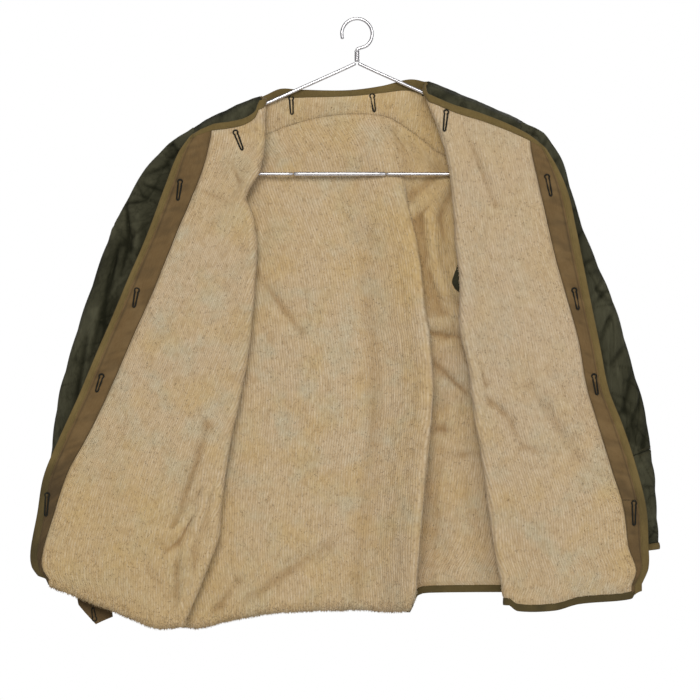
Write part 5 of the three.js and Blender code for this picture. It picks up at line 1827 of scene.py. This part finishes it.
@dataclass
class TabSurface(Surface):
    """A pointed tab inside the back of a cuff: u runs across it and t down it."""

    sleeve: SleeveSurface
    width: float = 44.0
    shoulder: float = 34.0
    length: float = 62.0
    inside: float = 14.0
    around_left: float = 0.17
    around_right: float = 0.24
    cuff_girth: float = 300.0

    def point(self, u: Array, t: Array) -> Array:
        """The points at (u, t)."""
        sign = self.sleeve.side.value
        centre = self.around_left if sign < 0 else 1 - self.around_right
        reach = mix(self.shoulder, self.length, 1 - np.abs(2 * u - 1))
        below = t * (reach + self.inside) - self.inside
        return self.sleeve.point(centre + sign * (0.5 - u) * self.width / self.cuff_girth, 1 + below / SLEEVE_LENGTH)


@dataclass
class Sleeve:
    """A quilted sleeve with its forearm, cuff tape and cuff tab."""

    surface: SleeveSurface
    creases: Table
    finishes: Finishes
    sewing: Sewing
    columns: int = 164
    upper_rows: int = 180
    lower_rows: int = 66
    seam_gap: float = 0.0006
    tab_thick: float = 3.2

    def flat(self, grid: Grid) -> Tuple[Array, Array]:
        """Millimetres across the sleeve from its outer edge, the same on both sides, and along it."""
        return (1 - np.cos(grid.u * 2 * np.pi)) / 4 * SLEEVE_GIRTH, grid.t * SLEEVE_LENGTH

    def soft(self, grid: Grid) -> Array:
        """Its long soft folds, about -1 to 1."""
        across, along = self.flat(grid)
        seed = 83 + self.surface.side.value
        long = wave_noise((across + 0.4 * along) / 26, along / 90, seed)
        return 0.7 * long + 0.4 * wave_noise((across - 0.3 * along) / 15, along / 36, seed + 4)

    def sunk(self, grid: Grid) -> Array:
        """How deep its creases and fine wrinkles are."""
        across, along = self.flat(grid)
        seed = 83 + self.surface.side.value
        edge = ease((np.abs(np.sin(grid.u * 2 * np.pi)) - 0.02) / 0.12)
        fine = np.zeros_like(along)
        for lean, wide, long, shift in ((0.35, 24, 80, 12), (-0.5, 30, 60, 20), (1.6, 34, 90, 28)):
            near = np.abs(wave_noise((across + lean * along) / wide, along / long, seed + shift))
            fine += ease(1 - near / 0.1)
        some = ease(0.8 + wave_noise(across / 50, along / 80, seed + 36))
        return edge * (crease_depth(self.creases, grid.point[..., 0], grid.point[..., 2]) + 1.1 * some * fine)

    def relief(self, grid: Grid) -> Array:
        """The sleeve's puffs, wrinkles and creases, from its plain outside."""
        v = grid.t
        fade = ease(v / 0.03) * ease(np.abs(v - SLEEVE_SEAM) / 0.015) * ease((0.985 - v) / 0.015)
        across, along = self.flat(grid)
        a, b = (along + across) / SLEEVE_QUILT, (along - across) / SLEEVE_QUILT
        puff = np.abs(np.sin(a * np.pi) * np.sin(b * np.pi)) ** 0.55
        gathered = np.exp(-np.minimum(v, np.abs(v - SLEEVE_SEAM) + 0.004) / 0.05)
        gathered = gathered * wave_noise(across / 7, v * 9, 91 + self.surface.side.value)
        return fade * (SLEEVE_PUCKER * 0.9 * puff + 0.9 * self.soft(grid) + gathered - 1.3 * self.sunk(grid))

    def puffed(self, grid: Grid) -> Array:
        """The height of the sleeve's outside."""
        return SLEEVE_WALL / 2 + self.relief(grid)

    def shading(self, grid: Grid) -> Array:
        """1 in the depth of a wrinkle, -1 on its ridge."""
        return np.clip(0.5 * self.sunk(grid) - 0.6 * self.soft(grid) - 0.15, -1, 1)

    def build(self) -> List[bpy.types.Object]:
        """Makes the sleeve's pieces.

        Returns:
            The pieces.
        """
        word, half = self.surface.side.word, SLEEVE_WALL / 2
        us = np.linspace(0, 1, self.columns, endpoint=False)
        upper = np.linspace(-0.008, SLEEVE_SEAM - self.seam_gap, self.upper_rows)
        lower = np.linspace(SLEEVE_SEAM + self.seam_gap, CUFF_TAPE_V - self.seam_gap, self.lower_rows)
        made = []
        for node, vs in (("sleeve", upper), ("forearm", lower)):
            piece = Layer(
                f"quilted_{node}_{word}", Grid(self.surface, us, vs, ring=True), 1, lambda g: -half, self.puffed,
                self.finishes.nylon, "quilted_nylon", (4, 4), shade=self.shading,
            ).build()
            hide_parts(f"{node}_{word}")
            made.append(piece)
        tape = Layer(
            f"cuff_binding_{word}", Grid(self.surface, us, np.linspace(CUFF_TAPE_V, 1, 8), ring=True), 1,
            lambda g: -half - 0.3,
            lambda g: half + 0.4 + crown(CUFF_TAPE_V / 2 + 0.5, 0.0095, g.t) + puckered(g, 73),
            self.finishes.tape, "binding", shade=lambda g: 0.3,
        ).build()
        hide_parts(f"cuff_tape_{word}")
        away = half + 1.2
        tab_surface = TabSurface(self.surface)
        tab_grid = Grid(tab_surface, np.linspace(0, 1, 41), np.linspace(0, 1, 36))
        tab = Layer(
            f"twill_tab_{word}", tab_grid, 1, lambda g: -away - self.tab_thick,
            lambda g: -away + 0.25 * wave_noise(g.u * 6, g.t * 8, 91), self.finishes.twill, "twill", (2, 2),
            shade=lambda g: 0.5,
        ).build()
        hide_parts(f"cuff_tab_{word}")
        rows = (
            (SLEEVE_SEAM - 0.006, half + 0.35), (SLEEVE_SEAM + 0.006, half + 0.35),
            (CUFF_TAPE_V + 0.0035, half + 1.15),
        )
        ring = np.linspace(0, 1, 160)
        runs = [run_on(self.surface, ring, v, 1, height) for v, height in rows]
        border = np.concatenate([np.linspace(0.08, 0.5, 20), np.linspace(0.5, 0.92, 20)[1:]])
        runs.append(run_on(tab_surface, border, 0.93, -1, away + self.tab_thick + 0.1))
        runs.append(run_on(tab_surface, border, 0.93, 1, -away + 0.2))
        head, foot = tab_surface.point(np.array([0.5, 0.5]), np.array([0.86, 0.6]))
        slit = Table("x1 z1 x2 z2", (head[0], head[2], foot[0], foot[2]))
        hole = keyholes(slit, tab_grid, -1, np.full_like(tab_grid.t, away + self.tab_thick + 0.4))
        seams = self.sewing.lay(f"sleeve_stitches_{word}", runs, 3.2, SEAM_STITCH, self.finishes.seam_thread)
        made += [tape, tab, seams]
        made.append(self.sewing.lay(f"tab_buttonhole_{word}", hole, 0.75, TAB_STITCH, self.finishes.thread))
        return made


# ------------------------------------------------------------------------------ hanger
def smooth_path(controls: Array, steps: int) -> Array:
    """A centripetal curve through points, each stretch in equal steps."""
    p = np.vstack([2 * controls[0] - controls[1], controls, 2 * controls[-1] - controls[-2]])
    out = []
    for i in range(1, len(p) - 2):
        d0, d1, d2 = (np.sqrt(np.linalg.norm(p[i + k] - p[i + k - 1])) for k in range(3))
        start = ((p[i] - p[i - 1]) / d0 - (p[i + 1] - p[i - 1]) / (d0 + d1) + (p[i + 1] - p[i]) / d1) * d1
        end = ((p[i + 1] - p[i]) / d1 - (p[i + 2] - p[i]) / (d1 + d2) + (p[i + 2] - p[i + 1]) / d2) * d1
        f = np.linspace(0, 1, steps, endpoint=False)[:, None]
        span = p[i + 1] - p[i]
        out.append(p[i] + start * f + (3 * span - 2 * start - end) * f**2 + (start + end - 2 * span) * f**3)
    return np.vstack(out + [p[-2][None]])


def tube(path: Array, radius: float, sides: int = 24) -> Tuple[Array, List[Tuple[int, ...]]]:
    """A round wire along a path, closed by rounded ends.

    Args:
        path: Its middle line.
        radius: Its radius.
        sides: Faces round it.

    Returns:
        Its vertices and faces.
    """
    way = np.gradient(path, axis=0)
    way = way / np.linalg.norm(way, axis=1, keepdims=True)
    side = np.cross(way[0], (0.3, 1.0, 0.2))
    rings = []
    angle = np.linspace(0, 2 * np.pi, sides, endpoint=False)[:, None]
    for point, tangent in zip(path, way):
        side = side - tangent * np.dot(side, tangent)
        side = side / np.linalg.norm(side)
        rings.append((point, tangent, side, np.cross(tangent, side)))
    caps = [(-0.6, 0.55), (-0.3, 0.85)]
    levels = [(0, back * radius, size) for back, size in caps] + [(i, 0.0, 1.0) for i in range(len(rings))]
    levels += [(len(rings) - 1, -back * radius, size) for back, size in reversed(caps)]
    points = []
    for i, shift, size in levels:
        point, tangent, side, over = rings[i]
        points.append(point + tangent * shift + radius * size * (np.cos(angle) * side + np.sin(angle) * over))
    faces = []
    for i in range(len(levels) - 1):
        for k in range(sides):
            n = (k + 1) % sides
            faces.append((i * sides + k, i * sides + n, (i + 1) * sides + n, (i + 1) * sides + k))
    last = (len(levels) - 1) * sides
    faces += [tuple(range(sides))[::-1], tuple(last + k for k in range(sides))]
    return np.vstack(points), faces


@dataclass
class Hanger:
    """A one-piece wire hanger with a sleeve on its bar."""

    finishes: Finishes
    wire_radius: float = 2.35
    hook_radius: float = 21.0
    hook_from: float = -52.0
    hook_to: float = 196.0
    apex_z: float = -59.0
    shoulder_x: float = 186.0
    shoulder_z: float = -142.0
    end_x: float = 207.0
    bar_z: float = -212.0
    shank_top: float = -42.0
    neck_radius: float = 3.6
    sleeve_from: float = -88.0
    sleeve_to: float = 40.0
    sleeve_radius: float = 2.95

    def add(self, name: str, node: str, parts: Sequence[Tuple[Array, List[Tuple[int, ...]]]]) -> bpy.types.Object:
        """Joins wires into one piece that stands for a node."""
        points, faces, at = [], [], 0
        for part_points, part_faces in parts:
            points.append(part_points)
            faces += [tuple(at + k for k in face) for face in part_faces]
            at += len(part_points)
        obj = new_mesh(name, np.vstack(points), faces, self.finishes.wire)
        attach(obj, BODY)
        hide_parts(node)
        log.info("%s: %d faces", name, len(faces))
        return obj

    @staticmethod
    def flat(*pairs: Tuple[float, float]) -> Array:
        """Points in the hanger's own plane."""
        return np.array([(x, 0.0, z) for x, z in pairs])

    def hook(self) -> bpy.types.Object:
        """Most of a circle, then a short shank."""
        angle = np.radians(np.linspace(self.hook_from, self.hook_to, 13))
        centre = self.wire_radius - self.hook_radius
        turns = list(zip(self.hook_radius * np.cos(angle), centre + self.hook_radius * np.sin(angle)))
        path = smooth_path(self.flat((0, self.shank_top), (0.6, self.shank_top + 2), *turns), 6)
        return self.add("wire_hook", "hanger_hook", [tube(path, self.wire_radius)])

    def neck(self) -> bpy.types.Object:
        """Two strands wound round each other."""
        f = np.linspace(0, 1, 70)
        z = mix(self.apex_z + 3, self.shank_top - 0.6, f)
        strands = []
        for phase in (0, math.pi):
            turn, away = f * 2.6 * 2 * math.pi + phase, self.neck_radius / 2
            strands.append(tube(xyz(away * np.cos(turn), away * np.sin(turn), z), self.neck_radius / 2 - 0.05, 14))
        return self.add("wire_neck", "hanger_neck", strands)

    def arm(self, side: Side) -> bpy.types.Object:
        """From the neck along the shoulder and round the corner to the bar."""
        slope = (self.shoulder_z - self.apex_z) / self.shoulder_x
        line = [(3, self.apex_z - 1)] + [(x, self.apex_z + slope * x) for x in (20, 100, 165)]
        line += [
            (self.shoulder_x, self.shoulder_z - 3), (self.end_x - 3, self.shoulder_z - 18),
            (self.end_x, self.shoulder_z - 36), (self.end_x - 2, self.bar_z + 14), (self.end_x - 12, self.bar_z + 2),
            (self.end_x - 24, self.bar_z),
        ]
        path = smooth_path(self.flat(*[(side.value * x, z) for x, z in line]), 8)
        return self.add(f"wire_arm_{side.word}", f"hanger_arm_{side.word}", [tube(path, self.wire_radius)])

    def bar(self, word: str, start: float, end: float, radius: float) -> bpy.types.Object:
        """A stretch of the bar."""
        inset = 0.6 * radius
        path = xyz(np.linspace(start + inset, end - inset, 12), 0.0, self.bar_z)
        return self.add(f"wire_bar_{word}", f"hanger_bar_{word}", [tube(path, radius)])

    def build(self) -> List[bpy.types.Object]:
        """Makes the hanger's pieces.

        Returns:
            The pieces.
        """
        bar_end = self.end_x - 24.4
        return [
            self.hook(), self.neck(), self.arm(Side.LEFT), self.arm(Side.RIGHT),
            self.bar("left", -bar_end, self.sleeve_from - 0.3, self.wire_radius),
            self.bar("sleeve", self.sleeve_from, self.sleeve_to, self.sleeve_radius),
            self.bar("right", self.sleeve_to + 0.3, bar_end, self.wire_radius),
        ]


# ------------------------------------------------------------------------------ studio
@dataclass
class Studio:
    """The camera, the lights, the pale surroundings and the floor."""

    eye: Tuple[float, float, float] = (-0.0097, -5.0, -0.455)
    frame_width: float = 0.966
    sensor: float = 36.0
    floor_z: float = -1.65
    floor_radius: float = 2.2

    def build(self) -> None:
        """Sets the studio up."""
        scene = bpy.context.scene
        scene.view_settings.view_transform = "Standard"
        self.camera(scene)
        self.light("key", (-0.35, -3.8, 1.3), 1.7, 108.0, (1.0, 0.985, 0.96))
        self.light("fill", (2.2, -3.2, 0.2), 2.4, 34.0, (0.97, 0.985, 1.0))
        self.light("behind", (0.8, 3.4, 1.0), 2.4, 60.0, (1.0, 1.0, 1.0))
        self.surroundings(scene)
        self.floor()

    def camera(self, scene: bpy.types.Scene) -> None:
        """Sets the camera square on to the liner."""
        data = bpy.data.cameras.new("camera")
        data.sensor_width = self.sensor
        data.lens = self.sensor * -self.eye[1] / self.frame_width
        data.clip_end = 100.0
        camera = bpy.data.objects.new("camera", data)
        camera.location = self.eye
        camera.rotation_euler = (math.pi / 2, 0, 0)
        scene.collection.objects.link(camera)
        scene.camera = camera

    @staticmethod
    def light(name: str, place: Tuple[float, float, float], size: float, power: float, colour: Colour) -> None:
        """Adds a square soft light that faces the liner's middle."""
        data = bpy.data.lights.new(name, "AREA")
        data.size, data.energy, data.color = size, power, colour
        lamp = bpy.data.objects.new(name, data)
        lamp.location = place
        aim = Vector((0.0, 0.0, -0.42)) - Vector(place)
        lamp.rotation_euler = aim.to_track_quat("-Z", "Y").to_euler()
        bpy.context.collection.objects.link(lamp)

    @staticmethod
    def surroundings(scene: bpy.types.Scene) -> None:
        """White to the eye, softer as a light."""
        world = bpy.data.worlds.new("studio")
        world.use_nodes = True
        world.node_tree.nodes.clear()
        build = Builder(world.node_tree)
        seen = build.add("ShaderNodeBackground", {"Color": (1, 1, 1, 1), "Strength": 1.0}).outputs[0]
        lit = build.add("ShaderNodeBackground", {"Color": (0.97, 0.985, 1, 1), "Strength": 0.3}).outputs[0]
        ray = build.add("ShaderNodeLightPath", {}).outputs["Is Camera Ray"]
        both = build.add("ShaderNodeMixShader", {0: ray, 1: lit, 2: seen}).outputs[0]
        build.add("ShaderNodeOutputWorld", {0: both})
        scene.world = world

    def floor(self) -> None:
        """Adds a pale floor below the liner."""
        turn = np.linspace(0, 2 * np.pi, 96, endpoint=False)
        rim = xyz(self.floor_radius * np.cos(turn), self.floor_radius * np.sin(turn), self.floor_z) / MM
        material = bpy.data.materials.new("pale_floor")
        material.use_nodes = True
        shader = material.node_tree.nodes["Principled BSDF"]
        shader.inputs["Base Color"].default_value = (0.86, 0.86, 0.85, 1)
        shader.inputs["Roughness"].default_value = 0.8
        new_mesh("floor", rim, [tuple(range(len(turn)))], material)


# ------------------------------------------------------------------------------ cloth as cut
@dataclass(frozen=True)
class Cut:
    """A piece of cloth as it was cut: its width, length and flat area, in metres."""

    width: float
    length: float
    area: float

    def declare(self, pieces: Sequence[bpy.types.Object]) -> None:
        """Takes the pieces and does nothing with them; no cut is stated.

        Args:
            pieces: The cloth that was cut so, then what is sewn to it.
        """
        list(pieces[1:])


BACK_CUT, YOKE_CUT = Cut(0.60, 0.62, 0.33), Cut(0.50, 0.10, 0.032)
FRONT_CUT = Cut(0.38, 0.73, 0.2)
SLEEVE_CUT, FOREARM_CUT = Cut(0.52, 0.53, 0.165), Cut(0.32, 0.17, 0.045)


def main() -> None:
    """Builds the liner on its hanger."""
    logging.basicConfig(level=logging.INFO, format="%(name)s %(message)s")
    finishes = Finishes()
    sewing = Sewing(finishes)
    Studio().build()
    Hanger(finishes).build()
    back = Back(finishes, sewing).build()
    YOKE_CUT.declare(back[3:7])
    BACK_CUT.declare(back[:3] + back[7:])
    left = FrontSurface(Side.LEFT, LEFT_FRONT, LEFT_SIDE, LEFT_NECK, LEFT_HEM, LEFT_CREASES, 1.0)
    right = FrontSurface(Side.RIGHT, RIGHT_FRONT, RIGHT_SIDE, RIGHT_NECK, RIGHT_HEM, RIGHT_CREASES, 0.0)
    fronts = (
        Front(Side.LEFT, left, LEFT_HOLES, finishes, sewing),
        Front(Side.RIGHT, right, RIGHT_HOLES, finishes, sewing, facing_seam=FACING_SEAM_T),
    )
    for front in fronts:
        FRONT_CUT.declare(front.build())
    for side, rings, seam, creases in (
        (Side.LEFT, LEFT_SLEEVE, LEFT_SIDE, LEFT_SLEEVE_CREASES),
        (Side.RIGHT, RIGHT_SLEEVE, RIGHT_SIDE, RIGHT_SLEEVE_CREASES),
    ):
        sleeve, forearm, *sewn_on = Sleeve(SleeveSurface(side, rings, seam), creases, finishes, sewing).build()
        SLEEVE_CUT.declare([sleeve])
        FOREARM_CUT.declare([forearm] + sewn_on)


if __name__ == "__main__":
    main()
